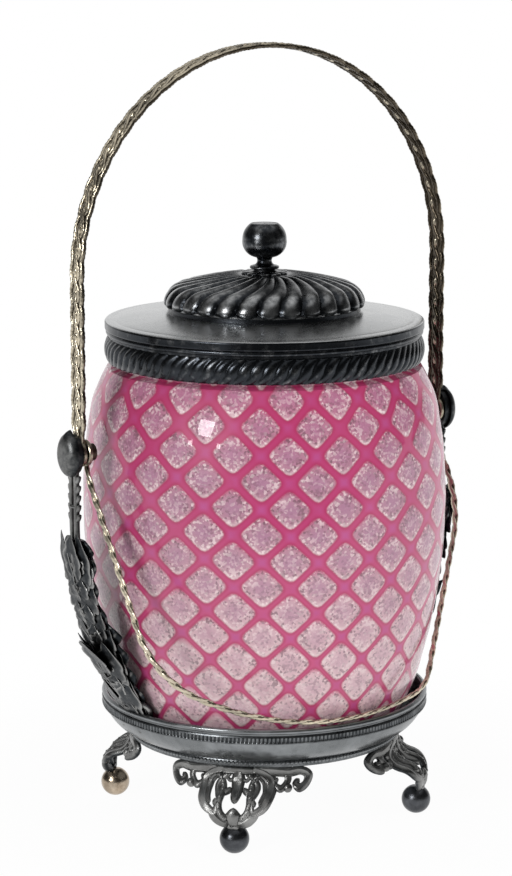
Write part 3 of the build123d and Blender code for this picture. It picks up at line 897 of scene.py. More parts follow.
def sparkle_group() -> bpy.types.NodeTree:
    """Crushed-glass sparkle: cells about a millimetre across, each with its own lightness. The light
    cells are partly the glass's own speckle and partly painted glints.

    Returns:
        A group with input Position and outputs Light, Dark and Height.
    """
    inputs, outputs = {"Position": (VECTOR, None)}, ("Light", "Dark", "Height")
    nodes, given, out = new_group("crushed_sparkle", inputs, outputs)
    place = given["Position"]
    cells = nodes.fill(nodes.new("ShaderNodeTexVoronoi"), Vector=place, Scale=1050.0)
    own = nodes.fill(nodes.new("ShaderNodeSeparateColor"), Color=cells.outputs["Color"]).outputs
    bias = nodes.times(nodes.less(nodes.noise(place, 180.0, 2.0), 0.5), 1.1)
    nodes.fill(
        out, Light=nodes.step(nodes.math("ADD", own[0], bias), 0.55, 1.0),
        Dark=nodes.step(nodes.math("ADD", own[1], bias), 0.45, 0.0),
        Height=nodes.math("ADD", cells.outputs["Distance"], own[0]),
    )
    return nodes.tree


# ---- finishes
def start_material(name: str, preview: Colour) -> tuple:
    """A new material with its Principled shader.

    Args:
        name: Name of the material.
        preview: Colour shown in the viewport.

    Returns:
        The material, the node helper and the shader node.
    """
    material = bpy.data.materials.new(name)
    material.use_nodes = True
    material.diffuse_color = (*preview, 1.0)
    return material, Nodes(material.node_tree), material.node_tree.nodes["Principled BSDF"]


@dataclass(frozen=True)
class PlatedFinish:
    """Silver plate on cast or spun metal, tarnished in its recesses.

    The roughness runs from its first value to its second, the cloudiness lightens and darkens
    the colour by that share, and bump is the strength of the grain.
    """

    name: str
    bright: Colour
    dark: Colour
    rub: float
    roughness: tuple[float, float]
    bump: float
    cloudiness: float = 0.35
    grain_height: float = 0.0001

    def material(self, tarnish: bpy.types.NodeTree) -> bpy.types.Material:
        """Build the material.

        Args:
            tarnish: The shared tarnish group.

        Returns:
            The finished material.
        """
        material, nodes, shader = start_material(self.name, self.bright)
        relief = nodes.new("ShaderNodeAttribute", attribute_name="relief").outputs["Fac"]
        worn = nodes.group(tarnish, Position=nodes.place(), Relief=relief, Rub=self.rub)
        cloud = nodes.step(worn["Cloud"], 0.35, 0.7, 1.0 - self.cloudiness, 1.0 + self.cloudiness)
        nodes.fill(
            shader, Base_Color=nodes.scaled(nodes.mix(worn["Bright"], self.dark, self.bright), cloud),
            Roughness=nodes.step(worn["Rough"], 0.3, 0.7, *self.roughness), Metallic=1.0,
            Normal=nodes.bump(worn["Height"], self.bump, self.grain_height),
        )
        return material


@dataclass(frozen=True)
class CasedGlassFinish:
    """Clear casing over pink glass with a lattice of sparkling windows.

    The colour pales from the shoulder to the foot as painted light from below, and deepens again
    above the shoulder as painted shade near the collar. The shares say how strongly each effect shows.
    """

    name: str = "cased_glass"
    band: Colour = (0.52, 0.042, 0.172)
    # The band and pane colours at the foot carry painted light, paler where light from below falls.
    band_painted_light: Colour = (0.60, 0.075, 0.215)
    band_border: Colour = (0.40, 0.018, 0.085)
    band_cross: Colour = (0.52, 0.075, 0.27)
    pane: Colour = (0.49, 0.235, 0.315)
    pane_painted_light: Colour = (0.80, 0.57, 0.60)
    haze: Colour = (0.44, 0.21, 0.33)
    # Colour of the light flecks: partly speckle of the glass, partly painted glints.
    fleck: Colour = (0.88, 0.71, 0.72)
    speck: Colour = (0.15, 0.075, 0.10)
    painted_light_level: float = 0.060
    deep_level: float = 0.150
    top_level: float = 0.200
    window_levels: tuple[float, float] = (0.16, 0.06)
    window_sizes: tuple[float, float] = (0.79, 0.87)
    border_share: float = 0.55
    # Share of painted shade that deepens the colour above the shoulder.
    painted_top_shade_share: float = 0.30
    haze_shares: tuple[float, float] = (0.75, 0.35)
    upper_rim_share: float = 0.45
    lower_rim_share: float = 0.55
    centre_calm: float = 0.55
    speck_share: float = 0.72
    fleck_and_glint_share: float = 0.75
    grit_height: float = 0.0003

    def material(self, windows: bpy.types.NodeTree, sparkles: bpy.types.NodeTree) -> bpy.types.Material:
        """Build the material.

        Args:
            windows: The lattice group.
            sparkles: The crushed-glass group.

        Returns:
            The finished material.
        """
        material, nodes, shader = start_material(self.name, self.band)
        place = nodes.place()
        height = nodes.parts(place)[2]
        lattice = nodes.new("ShaderNodeUVMap", uv_map="lattice").outputs[0]
        size = nodes.step(height, *self.window_levels, *self.window_sizes)
        pane = nodes.group(windows, Lattice=lattice, Size=size)
        grit = nodes.group(sparkles, Position=place)
        # Painted light: pale grows from deep_level down to the foot. Painted shade: thick grows from
        # deep_level up to top_level.
        pale = nodes.step(height, self.deep_level, self.painted_light_level)
        thick = nodes.step(height, self.deep_level, self.top_level, 0.0, self.painted_top_shade_share)
        cloud = nodes.step(nodes.noise(place, 70.0, 2.0), 0.3, 0.6)
        # Painted light pales the band towards the foot.
        band = nodes.mix(pale, self.band, self.band_painted_light)
        band = nodes.mix(nodes.times(pane["Cross"], cloud), band, self.band_cross)
        band = nodes.mix(nodes.times(pane["Border"], self.border_share), band, self.band_border)
        # Painted shade deepens the band towards the top.
        band = nodes.mix(thick, band, self.band_border)
        crushed = self.crushed(nodes, pane, grit, pale, thick)
        nodes.fill(
            shader, Base_Color=nodes.mix(pane["Window"], band, crushed), Roughness=0.45,
            Transmission_Weight=0.10, IOR=1.5, Coat_Weight=0.7, Coat_Roughness=0.03, Coat_IOR=1.5,
            Normal=nodes.bump(nodes.times(grit["Height"], pane["Window"]), 0.4, self.grit_height),
        )
        return material

    def crushed(self, nodes: Nodes, pane: Sockets, grit: Sockets, pale: Socket, thick: Socket) -> Socket:
        """The colour of the windows: hazy centres, dark specks, light flecks that are partly painted glints,
        and a light lower rim.

        Args:
            nodes: The node helper.
            pane: The lattice group's outputs.
            grit: The crushed-glass group's outputs.
            pale: Share of the painted light, which pales the colour towards the foot.
            thick: Share of the painted shade, which deepens the colour at the top.

        Returns:
            The colour.
        """
        hazy = nodes.times(pane["Centre"], nodes.step(pale, 0.0, 1.0, *self.haze_shares))
        # Painted light pales the panes towards the foot, and painted shade deepens them at the top.
        colour = nodes.mix(hazy, nodes.mix(pale, self.pane, self.pane_painted_light), self.haze)
        colour = nodes.mix(thick, colour, self.band)
        upper = nodes.times(nodes.step(pane["Low"], -0.1, -0.75), pane["Rim"])
        colour = nodes.mix(nodes.times(upper, self.upper_rim_share), colour, self.band)
        edgeward = nodes.less(1.0, nodes.times(pane["Centre"], self.centre_calm))
        dark = nodes.times(nodes.times(grit["Dark"], edgeward), self.speck_share)
        colour = nodes.mix(dark, colour, self.speck)
        rim = nodes.times(nodes.step(pane["Low"], 0.15, 0.75), pane["Rim"])
        # Light flecks: partly the crushed glass's own speckle, partly painted glints.
        sparkle = nodes.times(nodes.times(grit["Light"], edgeward), self.fleck_and_glint_share)
        light = nodes.math("ADD", sparkle, nodes.times(rim, self.lower_rim_share), clamp=True)
        return nodes.mix(light, colour, self.fleck)


@dataclass(frozen=True)
class PlasterFinish:
    """Matt white plaster with a fine grain."""

    name: str = "white_plaster"
    colour: Colour = (0.82, 0.79, 0.72)

    def material(self) -> bpy.types.Material:
        """Build the material.

        Returns:
            The finished material.
        """
        material, nodes, shader = start_material(self.name, self.colour)
        grain = nodes.noise(nodes.place(), 900.0)
        tint = nodes.scaled(self.colour, nodes.step(grain, 0.3, 0.7, 0.85, 1.05))
        nodes.fill(shader, Base_Color=tint, Roughness=0.9, Normal=nodes.bump(grain, 0.4, 0.0001))
        return material


PLATES = {
    Slot.COVER_PLATE: PlatedFinish(
        "gunmetal_plate", bright=(0.56, 0.57, 0.575), dark=(0.038, 0.042, 0.048),
        rub=0.55, roughness=(0.23, 0.33), bump=0.012, cloudiness=0.08),
    Slot.TRAY_PLATE: PlatedFinish(
        "slate_plate", bright=(0.25, 0.262, 0.27), dark=(0.06, 0.065, 0.07),
        rub=0.60, roughness=(0.24, 0.38), bump=0.06, cloudiness=0.2),
    Slot.CASTING: PlatedFinish(
        "oxidised_casting", bright=(0.27, 0.27, 0.265), dark=(0.028, 0.032, 0.036),
        rub=0.40, roughness=(0.28, 0.50), bump=0.7),
    Slot.FOOT_BALL: PlatedFinish(
        "polished_ball", bright=(0.11, 0.115, 0.125), dark=(0.05, 0.053, 0.058),
        rub=0.5, roughness=(0.24, 0.38), bump=0.10),
    Slot.WORN_FOOT_BALL: PlatedFinish(
        "worn_ball", bright=(0.66, 0.55, 0.43), dark=(0.24, 0.18, 0.12),
        rub=0.5, roughness=(0.2, 0.36), bump=0.12),
    Slot.BAIL_STRAP: PlatedFinish(
        "stamped_strap", bright=(0.64, 0.57, 0.44), dark=(0.10, 0.082, 0.06),
        rub=0.50, roughness=(0.24, 0.40), bump=0.12, cloudiness=0.3),
}


@dataclass
class Finishes:
    """Every finish of the jar, by the slot it belongs to."""

    table: dict[Slot, bpy.types.Material] = field(default_factory=dict)

    def __post_init__(self) -> None:
        """Build the shared groups and the materials."""
        tarnish = tarnish_group()
        self.table = {slot: finish.material(tarnish) for slot, finish in PLATES.items()}
        self.table[Slot.PLASTER] = PlasterFinish().material()
        self.table[Slot.GLASS] = CasedGlassFinish().material(window_group(), sparkle_group())

    def of(self, slot: Slot) -> bpy.types.Material:
        """The material of a slot."""
        return self.table[slot]


# ---- glass
@dataclass
class GlassBarrel:
    """The blown barrel with its quilted lattice of windows.

    The pairs are (r, z) points of the outline, sizes of slow waves or levels between which a
    relief fades; shy is how far the quilted skin stays inside the outline.
    """

    finishes: Finishes
    foot_radius: float = 54.0
    foot_rounding: float = 3.6
    waist: tuple[float, float] = (67.3, 65.0)
    belly: tuple[float, float] = (77.4, 136.8)
    shoulder: tuple[float, float] = (74.4, 173.2)
    neck_root: tuple[float, float] = (66.6, 193.4)
    neck_radius: float = 63.2
    neck_step: float = 1.2
    wall: float = 3.8
    base: float = 6.0
    axis_hole: float = 0.6
    flat_radius: float = 30.0
    columns: int = 20
    row_pitch: float = 21.66
    window_share: float = 0.864
    quilting: float = 0.22
    shy: float = 0.03
    fade_in: tuple[float, float] = (40, 46)
    fade_out: tuple[float, float] = (186, 195)
    front_bearing: float = -124.2
    lattice_centre: float = 135.95
    column_phase: float = 0.588
    column_wave: tuple[float, float] = (0.055, 5.62)
    row_wave: tuple[float, float] = (0.046, -0.23)
    lattice_lean: float = 0.0005
    skin_step: float = 1.25
    around: int = 400

    def outline(self, inset: float, floor: float) -> Array:
        """The barrel's outline from foot to neck root, inset by the wall.

        Args:
            inset: Distance inside the outer skin.
            floor: Height of the base.

        Returns:
            Points (r, z) from the foot up.
        """
        marks = (self.belly, self.waist, self.shoulder, self.neck_root)
        belly, waist, shoulder, root = ((radius - inset, level) for radius, level in marks)
        foot = (self.foot_radius + self.foot_rounding - inset, floor + self.foot_rounding)
        lower = arc_tangent(belly, (0, -1), waist, 40)
        heel = arc_tangent(waist, end_heading(lower), foot, 20)
        rounding = arc_tangent(foot, end_heading(heel), (self.foot_radius - inset, floor), 8)
        upper = arc_tangent(belly, (0, 1), shoulder, 24)
        crown = arc_tangent(shoulder, end_heading(upper), root, 20)
        return joined(rounding[::-1], heel[::-1], lower[::-1], upper, crown)

    def lattice(self, bearing: Array, height: Array) -> Array:
        """Lattice coordinates over the surface.

        With a the bearing counted in columns and b the height counted in rows, each gently
        bent by slow waves as a hand-blown lattice is, the coordinates are a + b and a - b.

        Args:
            bearing: Angles in radians.
            height: Heights in millimetres.

        Returns:
            Coordinates on a last axis of two.
        """
        turn = bearing - radians(self.front_bearing)
        above = height - self.lattice_centre
        column = turn * self.columns / (2 * pi) + self.column_phase + self.lattice_lean * above
        column = column + self.column_wave[0] * np.sin(3 * turn + self.column_wave[1])
        row = above / self.row_pitch + self.row_wave[0] * np.sin(3 * turn + self.row_wave[1])
        return np.stack([column + row, column - row], axis=-1)

    def cushion(self, lattice: Array) -> Array:
        """Height of the quilted windows: one minus the square of the distance from their centre."""
        reach = (np.abs(2 * (lattice % 1.0) - 1) ** WINDOW_POWER).sum(axis=-1) ** (1 / WINDOW_POWER)
        return np.clip(1 - (reach / self.window_share) ** 2, 0, 1)

    def build(self) -> None:
        """Build the closed barrel: outer skin, mouth, inner skin."""
        low, mouth, neck_foot = LEVELS.tray_floor, LEVELS.mouth, LEVELS.neck_root + self.neck_step
        outside = evenly(self.outline(0, low), self.skin_step)
        inside = self.outline(self.wall, low + self.base)[::-3]
        bore = self.neck_radius - self.wall
        under = [(self.axis_hole, low), (self.flat_radius, low)]
        neck = [(self.neck_radius, neck_foot), (self.neck_radius, mouth), (bore, mouth), (bore, neck_foot)]
        profile = joined(under, outside, neck, inside, [(self.axis_hole, low + self.base)])
        rank = np.arange(len(profile))
        skin = (rank >= len(under)) & (rank < len(under) + len(outside))
        lattice = self.lattice(np.linspace(0, 2 * pi, self.around + 1)[None], profile[:, 1:])
        fade = skin * ramp(profile[:, 1], *self.fade_in) * (1 - ramp(profile[:, 1], *self.fade_out))
        dent = (self.quilting * (self.cushion(lattice[:, :-1]) - 1) - self.shy) * fade[:, None]
        shell = Shell().revolve(profile, self.around, 0.5, dent, lattice)
        shell.piece("glass_barrel", self.finishes, Body.JAR, Slot.GLASS, "glass_jar")


# ---- collar and cover
@dataclass
class Collar:
    """The spun collar and the gadrooned band round it."""

    finishes: Finishes
    sheet: float = 1.2
    flange_radius: float = 67.0
    flange_rounding: float = 0.7
    mouth_radius: float = 58.4
    polish: float = 0.2
    rope_height: float = 10.4
    rope_depth: float = 1.9
    rope_edge: float = 0.4
    rope_seat: float = 0.1
    lobes: int = 84
    lobe_columns: int = 10
    lobe_depth: float = 1.05
    lobe_polish: float = 0.22
    slant_lobes: float = 1.75
    slant_curve: float = 0.10

    def wall(self) -> Shell:
        """The upright wall and the flange with its rounded edge.

        Returns:
            The collar's shell.
        """
        outer, low = LEVELS.collar_radius, LEVELS.collar_bottom
        high, top = LEVELS.flange_bottom, LEVELS.flange_top
        inner, edge = outer - self.sheet, self.flange_radius - self.flange_rounding
        wall = np.array([(inner, low), (outer, low), (outer, high), (inner, high)])
        rim = arc_through((edge, high), (self.flange_radius, (high + top) / 2), (edge, top), 9)
        flange = joined([(self.mouth_radius, top), (self.mouth_radius, high)], rim)
        return Shell().revolve(wall, 160, self.polish).revolve(flange, 160, self.polish)

    def rope(self) -> Shell:
        """The half-round band of slanted lobes.

        The crest is the arc of the band's section; each lobe is a semicircle of the phase
        84 x bearing, which slides with height as a soft S.

        Returns:
            The band's shell.
        """
        low, high = LEVELS.collar_bottom, LEVELS.collar_bottom + self.rope_height
        inner = LEVELS.collar_radius - self.rope_seat
        edge, crown = LEVELS.collar_radius + self.rope_edge, LEVELS.collar_radius + self.rope_depth
        crest = arc_through((edge, low), (crown, (low + high) / 2), (edge, high), 17)
        profile = joined(crest, [(inner, high), (inner, low)])
        share = np.clip((profile[:, 1:] - low) / (high - low), 0, 1)
        on_crest = (np.arange(len(profile)) < len(crest))[:, None]
        slide = self.slant_lobes * (share + self.slant_curve * np.sin(2 * pi * share))
        around = self.lobes * self.lobe_columns
        lobe = np.sqrt(lobe_square(full_turn(around) * self.lobes / (2 * pi) - slide))
        lift = self.lobe_depth * (lobe - 1) * hump(0.03 + 0.94 * share, 0.35) * on_crest
        return Shell().revolve(profile, around, self.lobe_polish * lobe**2 * np.where(on_crest, 1, 0.3), lift)

    def build(self) -> None:
        """Build both pieces."""
        self.wall().piece("collar_ring", self.finishes, Body.JAR, Slot.COVER_PLATE, "collar")
        self.rope().piece("gadrooned_band", self.finishes, Body.JAR, Slot.COVER_PLATE, "rope_border", 60)


@dataclass
class Cover:
    """The cover: plate, swirl-fluted dome, rosette and knob."""

    finishes: Finishes
    radius: float = 67.4
    sheet: float = 1.3
    brow: float = 0.9
    cone_rise: float = 3.6
    hairline_radius: float = 63.6
    hairline_depth: float = 0.12
    edge_polish: float = 0.17
    skin_polish: float = 0.95
    opening: float = 38.5
    dome_radius: float = 42.0
    dome_foot_radius: float = 40.6
    dome_shoulder: float = 8.6
    shoulder_turn: float = 75.0
    dome_sheet: float = 1.2
    flutes: int = 28
    flute_columns: int = 14
    twist: float = 33.0
    flute_depth: float = 1.9
    flute_crest: float = 0.68
    flute_tip: tuple[float, float] = (0.045, 0.075)
    rosette_radius: float = 10.0
    petals: int = 10
    petal_columns: int = 16
    petal_cut: float = 0.15
    petal_dip: float = 0.45
    knob_radius: float = 9.3
    knob_flat: float = 5.9
    knob_collar: float = 6.2
    knob_polish: float = 0.26
    neck_radius: float = 3.6
    stud_radius: float = 2.0
    stud_bottom: float = 225.2
    axis_hole: float = 0.4

    def slope(self, radius: float) -> float:
        """Height of the cover's upper skin at a radius: a shallow cone."""
        run = self.radius - self.brow - self.dome_foot_radius
        return LEVELS.cover_top + self.cone_rise * (self.radius - self.brow - radius) / run

    def plate(self) -> Shell:
        """The plate: upright edge with rounded corners, hairline step and shallow cone.

        Returns:
            The plate's shell.
        """
        edge, low, high = self.radius, LEVELS.flange_top, LEVELS.cover_top
        side = arc_through((edge - 0.5, low), (edge - 0.06, low + 0.3), (edge, low + 0.8), 5)
        brow = arc_through((edge, high - 1.1), (edge - 0.25, high - 0.3), (edge - self.brow, high), 7)
        rings = np.array([65.4, 64.6, 64.1, 63.6, 63.1, 62.4, 60.0])
        line = self.hairline_depth * np.exp(-(((rings - self.hairline_radius) / 0.5) ** 2))
        skin = np.stack([rings, self.slope(rings) - line], axis=1)
        cone = [(radius, self.slope(radius)) for radius in (54.0, 48.0, 44.0, self.opening)]
        inner = edge - self.sheet
        under = [(radius, self.slope(radius) - self.sheet) for radius in (self.opening, inner)]
        profile = joined(side, brow, skin, cone, under, [(inner, low)])
        edge_band = (profile[:, :1] > edge - 1.2) & (profile[:, 1:] < high - 0.2)
        return Shell().revolve(profile, 220, np.where(edge_band, self.edge_polish, self.skin_polish))

    def dome_outline(self, inset: float) -> Array:
        """The dome's skin.

        Args:
            inset: Distance inside the outer skin.

        Returns:
            Points (r, z) from the foot over the shoulder to the stud hole.
        """
        reach, widest_level, top_level = self.dome_radius - inset, LEVELS.dome_widest, LEVELS.dome_top - inset
        foot = (self.dome_foot_radius - inset, self.slope(self.dome_foot_radius - inset))
        bend, turn = self.dome_shoulder - inset, radians(self.shoulder_turn)
        centre = self.dome_radius - self.dome_shoulder
        brow = (centre + bend * cos(turn), widest_level + bend * sin(turn))
        flare = arc_through(foot, (reach - 0.35, widest_level - 1.3), (reach, widest_level), 5)
        side = arc_tangent((reach, widest_level), (0, 1), brow, 14)
        top = arc_tangent(brow, end_heading(side), (self.rosette_radius + 0.5, top_level), 22)
        return joined([foot], flare, side, top, [(self.stud_radius, top_level)])

    def dome(self) -> Shell:
        """The stamped dome with swirling flutes.

        A flute is a semicircle of the phase flutes x (bearing - twist); the twist grows from
        nought at the rim to its full angle at the centre, the depth fades at the crown, and each
        flute's lower tip is rounded by the square of the distance from the foot.

        Returns:
            The dome's shell.
        """
        outer, inner = self.dome_outline(0), self.dome_outline(self.dome_sheet)[::-3]
        profile = joined(outer, inner)
        radius, lengths = profile[:, :1], arc_lengths(outer)
        run = np.concatenate([lengths / lengths[-3], np.zeros(len(inner))])[:, None]
        on_top = (np.arange(len(profile)) < len(outer))[:, None]
        reach = radius / self.dome_radius
        swirl = radians(self.twist) * (1 - np.clip(reach, 0, 1))
        depth = self.flute_depth * ramp(run, 0.0, 0.03) * ramp(radius, 10.2, 18) * on_top
        tip = np.clip(1 - (run - self.flute_tip[0]) / self.flute_tip[1], 0, 1)
        around = self.flutes * self.flute_columns
        phase = (full_turn(around) - swirl) * self.flutes / (2 * pi)
        lobe = np.sqrt(np.clip(lobe_square(phase) - tip**2, 0, 1))
        polish = 0.10 + 0.36 * lobe**2 * (0.35 + 0.65 * ramp(reach, 0.3, 0.9))
        lift = depth * (lobe - self.flute_crest)
        return Shell().revolve(profile, around, np.where(on_top, polish, 0.4), lift)

    def rosette(self) -> Shell:
        """The lobed washer: ten domed petals that swell from the centre and roll over the edge.

        Returns:
            The rosette's shell.
        """
        low, high = LEVELS.dome_top, LEVELS.rosette_top
        share = np.array([0.99, 1.0, 0.985, 0.93, 0.85, 0.74, 0.62, 0.50, 0.40, 0.22])[:, None]
        level = np.array([0.0, 0.35, 0.62, 0.85, 0.97, 1.0, 0.96, 0.90, 0.88, 0.88])[:, None]
        bearing = full_turn(self.petals * self.petal_columns)
        petal = np.abs(np.sin(bearing * self.petals / 2)) ** 0.55
        gap = (1 - petal) * ramp(share, 0.35, 0.95)
        radius = self.rosette_radius * share * (1 - self.petal_cut * gap)
        height = low + (high - low) * level * (1 - self.petal_dip * gap * (level > 0.3))
        return Shell().add(polar(radius, bearing, height), 0.1 + 0.3 * petal)

    def knob(self) -> Shell:
        """The turned knob: beaded collar, waist, flattened ball with a flat top, and its stud.

        Returns:
            The knob's shell.
        """
        base, low, high = LEVELS.rosette_top, LEVELS.knob_bottom, LEVELS.knob_top
        wide, neck, flat, ring = self.knob_radius, self.neck_radius, self.knob_flat, self.knob_collar
        tall = high - low
        bulge = (wide, low + 0.54 * tall)
        ball = arc_through((neck, low), (neck + 0.76 * (wide - neck), low + 0.17 * tall), bulge, 18)
        crown = arc_tangent(bulge, (0, 1), (flat, high), 18)
        disc = [(flat - 0.35, high - 0.18), (flat - 0.9, high), (self.axis_hole, high)]
        cove = arc_through((ring - 0.9, base), (ring - 1.5, base + 0.5), (ring - 0.5, base + 1.0), 6)
        bead = arc_through((ring - 0.4, base + 1.05), (ring, base + 1.6), (ring - 0.4, base + 2.15), 8)
        waist = arc_through((ring - 1.1, base + 2.4), (neck - 0.5, (base + 2.4 + low) / 2), (neck, low), 12)
        foot = self.stud_bottom
        stud = [(self.axis_hole, foot), (self.stud_radius, foot), (self.stud_radius, base)]
        return Shell().revolve(joined(stud, cove, bead, waist, ball, crown, disc), 72, self.knob_polish)

    def build(self) -> None:
        """Build the four pieces of the cover."""
        pieces = {"cover_disc": (self.plate(), "cover_plate"), "swirled_dome": (self.dome(), "cover_dome"),
                  "petal_rosette": (self.rosette(), "finial_rosette"),
                  "turned_knob": (self.knob(), "finial_knob")}
        for name, (shell, node) in pieces.items():
            shell.piece(name, self.finishes, Body.COVER, Slot.COVER_PLATE, node)


# ---- tray
@dataclass
class Tray:
    """The spun tray with its rolled bead, ribbed border and beaded base ring."""

    finishes: Finishes
    sheet: float = 1.4
    floor_radius: float = 57.6
    flat_radius: float = 30.0
    axis_hole: float = 0.5
    bead: float = 1.2
    bead_angles: tuple[float, float] = (-1.1, 4.2)
    border_height: float = 3.2
    border_thickness: float = 0.8
    border_ribs: int = 260
    rib_columns: int = 6
    rib_depth: float = 0.45
    rib_polish: float = 0.44
    fillet_polish: float = 0.34
    ring_beads: int = 210
    ring_bead: float = 0.82
    ring_width: float = 4.0

    def wall(self, inset: float) -> Array:
        """The bowl's wall.

        Args:
            inset: Distance inside the outer skin.

        Returns:
            Points (r, z) from the floor to the bead.
        """
        low, top = LEVELS.tray_underside, LEVELS.tray_wall_top
        edge, foot = LEVELS.tray_wall_radius, self.floor_radius
        middle = (foot + 0.70 * (edge - foot) - 0.78 * inset, low + 0.36 * (top - low) + 0.62 * inset)
        return arc_through((foot - 0.3 * inset, low + inset), middle, (edge - inset, top), 24)

    def bowl(self) -> Shell:
        """The bowl with the rolled bead at its rim.

        Returns:
            The bowl's shell.
        """
        angle = np.linspace(*self.bead_angles, 18)
        roll = np.stack([LEVELS.bead_radius + self.bead * np.cos(angle),
                         LEVELS.bead_height + self.bead * np.sin(angle)], axis=1)
        low, floor = LEVELS.tray_underside, LEVELS.tray_floor
        under = [(self.axis_hole, low), (self.flat_radius, low), (self.floor_radius - 1.0, low)]
        inside = [(self.floor_radius - 2.5, floor), (self.flat_radius, floor), (self.axis_hole, floor)]
        profile = joined(under, self.wall(0), roll, self.wall(self.sheet)[::-1], inside)
        return Shell().revolve(profile, 240, 0.62)

    def border(self) -> Shell:
        """The ribbed gallery: upright ribs, each half a sine of the bearing, between two fillets.

        Returns:
            The border's shell.
        """
        top = LEVELS.tray_wall_top
        low = top - self.border_height
        levels = np.array([low, low, low + 0.45, low + 0.75, top - 0.75, top - 0.45, top, top])
        out = LEVELS.tray_wall_radius + self.border_thickness
        base = np.interp((low, top), *self.wall(0).T[::-1])
        steps = out - np.array([0.15, 0.0, 0.1, 0.1, 0.0, 0.15])
        profile = np.stack([np.concatenate([base[:1] - 0.2, steps, base[1:] - 0.3]), levels], axis=1)
        ribbed = np.array([0, 0, 0, 1, 1, 0, 0, 0])[:, None]
        around = self.border_ribs * self.rib_columns
        rib = np.abs(np.sin(full_turn(around) * self.border_ribs / 2))
        polish = np.where(ribbed > 0, rib * self.rib_polish, self.fillet_polish)
        return Shell().revolve(profile, around, polish, self.rib_depth * (rib - 1) * ribbed)

    def ring(self) -> Shell:
        """The base ring: a half-round band with a row of small beads.

        Returns:
            The ring's shell.
        """
        outer, low, top = self.floor_radius + 0.4, LEVELS.leg_top, LEVELS.tray_underside
        bulge = arc_through((outer - 0.2, low), (outer + 0.2, (low + top) / 2), (outer - 0.2, top), 9)
        inner = outer - self.ring_width
        shell = Shell().revolve(joined(bulge, [(inner, top), (inner, low)]), 200, 0.4)
        places = polar(outer + 0.1, full_turn(self.ring_beads)[0], (low + top) / 2 + 0.3)
        return shell.add_copies(ball_template(self.ring_bead), places, np.ones(len(places)), 0.85)

    def build(self) -> None:
        """Build the three pieces."""
        pieces = {"tray_bowl": (self.bowl(), "tray"), "ribbed_border": (self.border(), "rim_border"),
                  "beaded_ring": (self.ring(), "base_ring")}
        for name, (shell, node) in pieces.items():
            shell.piece(name, self.finishes, Body.FRAME, Slot.TRAY_PLATE, node)


# ---- feet and legs
@dataclass(frozen=True)
class Scroll:
    """One stroke of a leg's openwork.

    Its points are (across, share of the leg's height), with across in shares of the reach; its
    half widths hold at its start, middle and end.
    """

    points: tuple[tuple[float, float], ...]
    widths: tuple[float, float, float]
    thick: float
    proud: float = 0.0
    groove: float = 0.0


OPENWORK = {
    "scroll": Scroll(((0.40, 0.955), (0.72, 0.90), (0.97, 0.76), (1.0, 0.55), (0.86, 0.36), (0.58, 0.27),
                      (0.52, 0.40), (0.66, 0.44)), (1.9, 2.2, 1.1), 1.6, 0.15, 0.3),
    "rib": Scroll(((0.66, 0.86), (0.53, 0.78), (0.42, 0.62), (0.47, 0.42), (0.40, 0.26), (0.18, 0.13)),
                  (1.3, 1.6, 1.5), 1.45, 0.1),
    "lower": Scroll(((0.70, 0.31), (0.55, 0.17), (0.32, 0.075), (0.08, 0.045)), (1.6, 2.1, 1.9),
                    1.6, 0.1, 0.3),
    "wing": Scroll(((0.55, 0.93), (1.0, 0.92), (1.45, 0.89), (1.80, 0.91), (2.0, 0.82), (1.96, 0.68),
                    (1.80, 0.62), (1.66, 0.68), (1.76, 0.76)), (2.4, 2.0, 1.2), 1.5, 0.1, 0.3),
    "sprig": Scroll(((1.40, 0.88), (1.44, 0.74), (1.28, 0.62), (1.08, 0.68), (1.14, 0.80)),
                    (1.5, 1.3, 0.9), 1.3),
    "inner": Scroll(((0.28, 0.86), (0.50, 0.74), (0.60, 0.61), (0.48, 0.51), (0.34, 0.58)),
                    (1.2, 1.4, 0.9), 1.3),
    "leaflet": Scroll(((0.62, 0.84), (0.82, 0.70), (0.86, 0.54), (0.74, 0.40)), (1.3, 1.7, 0.9),
                      1.3, 0.3, 0.4),
    "bridge": Scroll(((0.16, 0.60), (0.32, 0.565), (0.45, 0.57)), (0.95, 0.95, 0.95), 1.2),
}


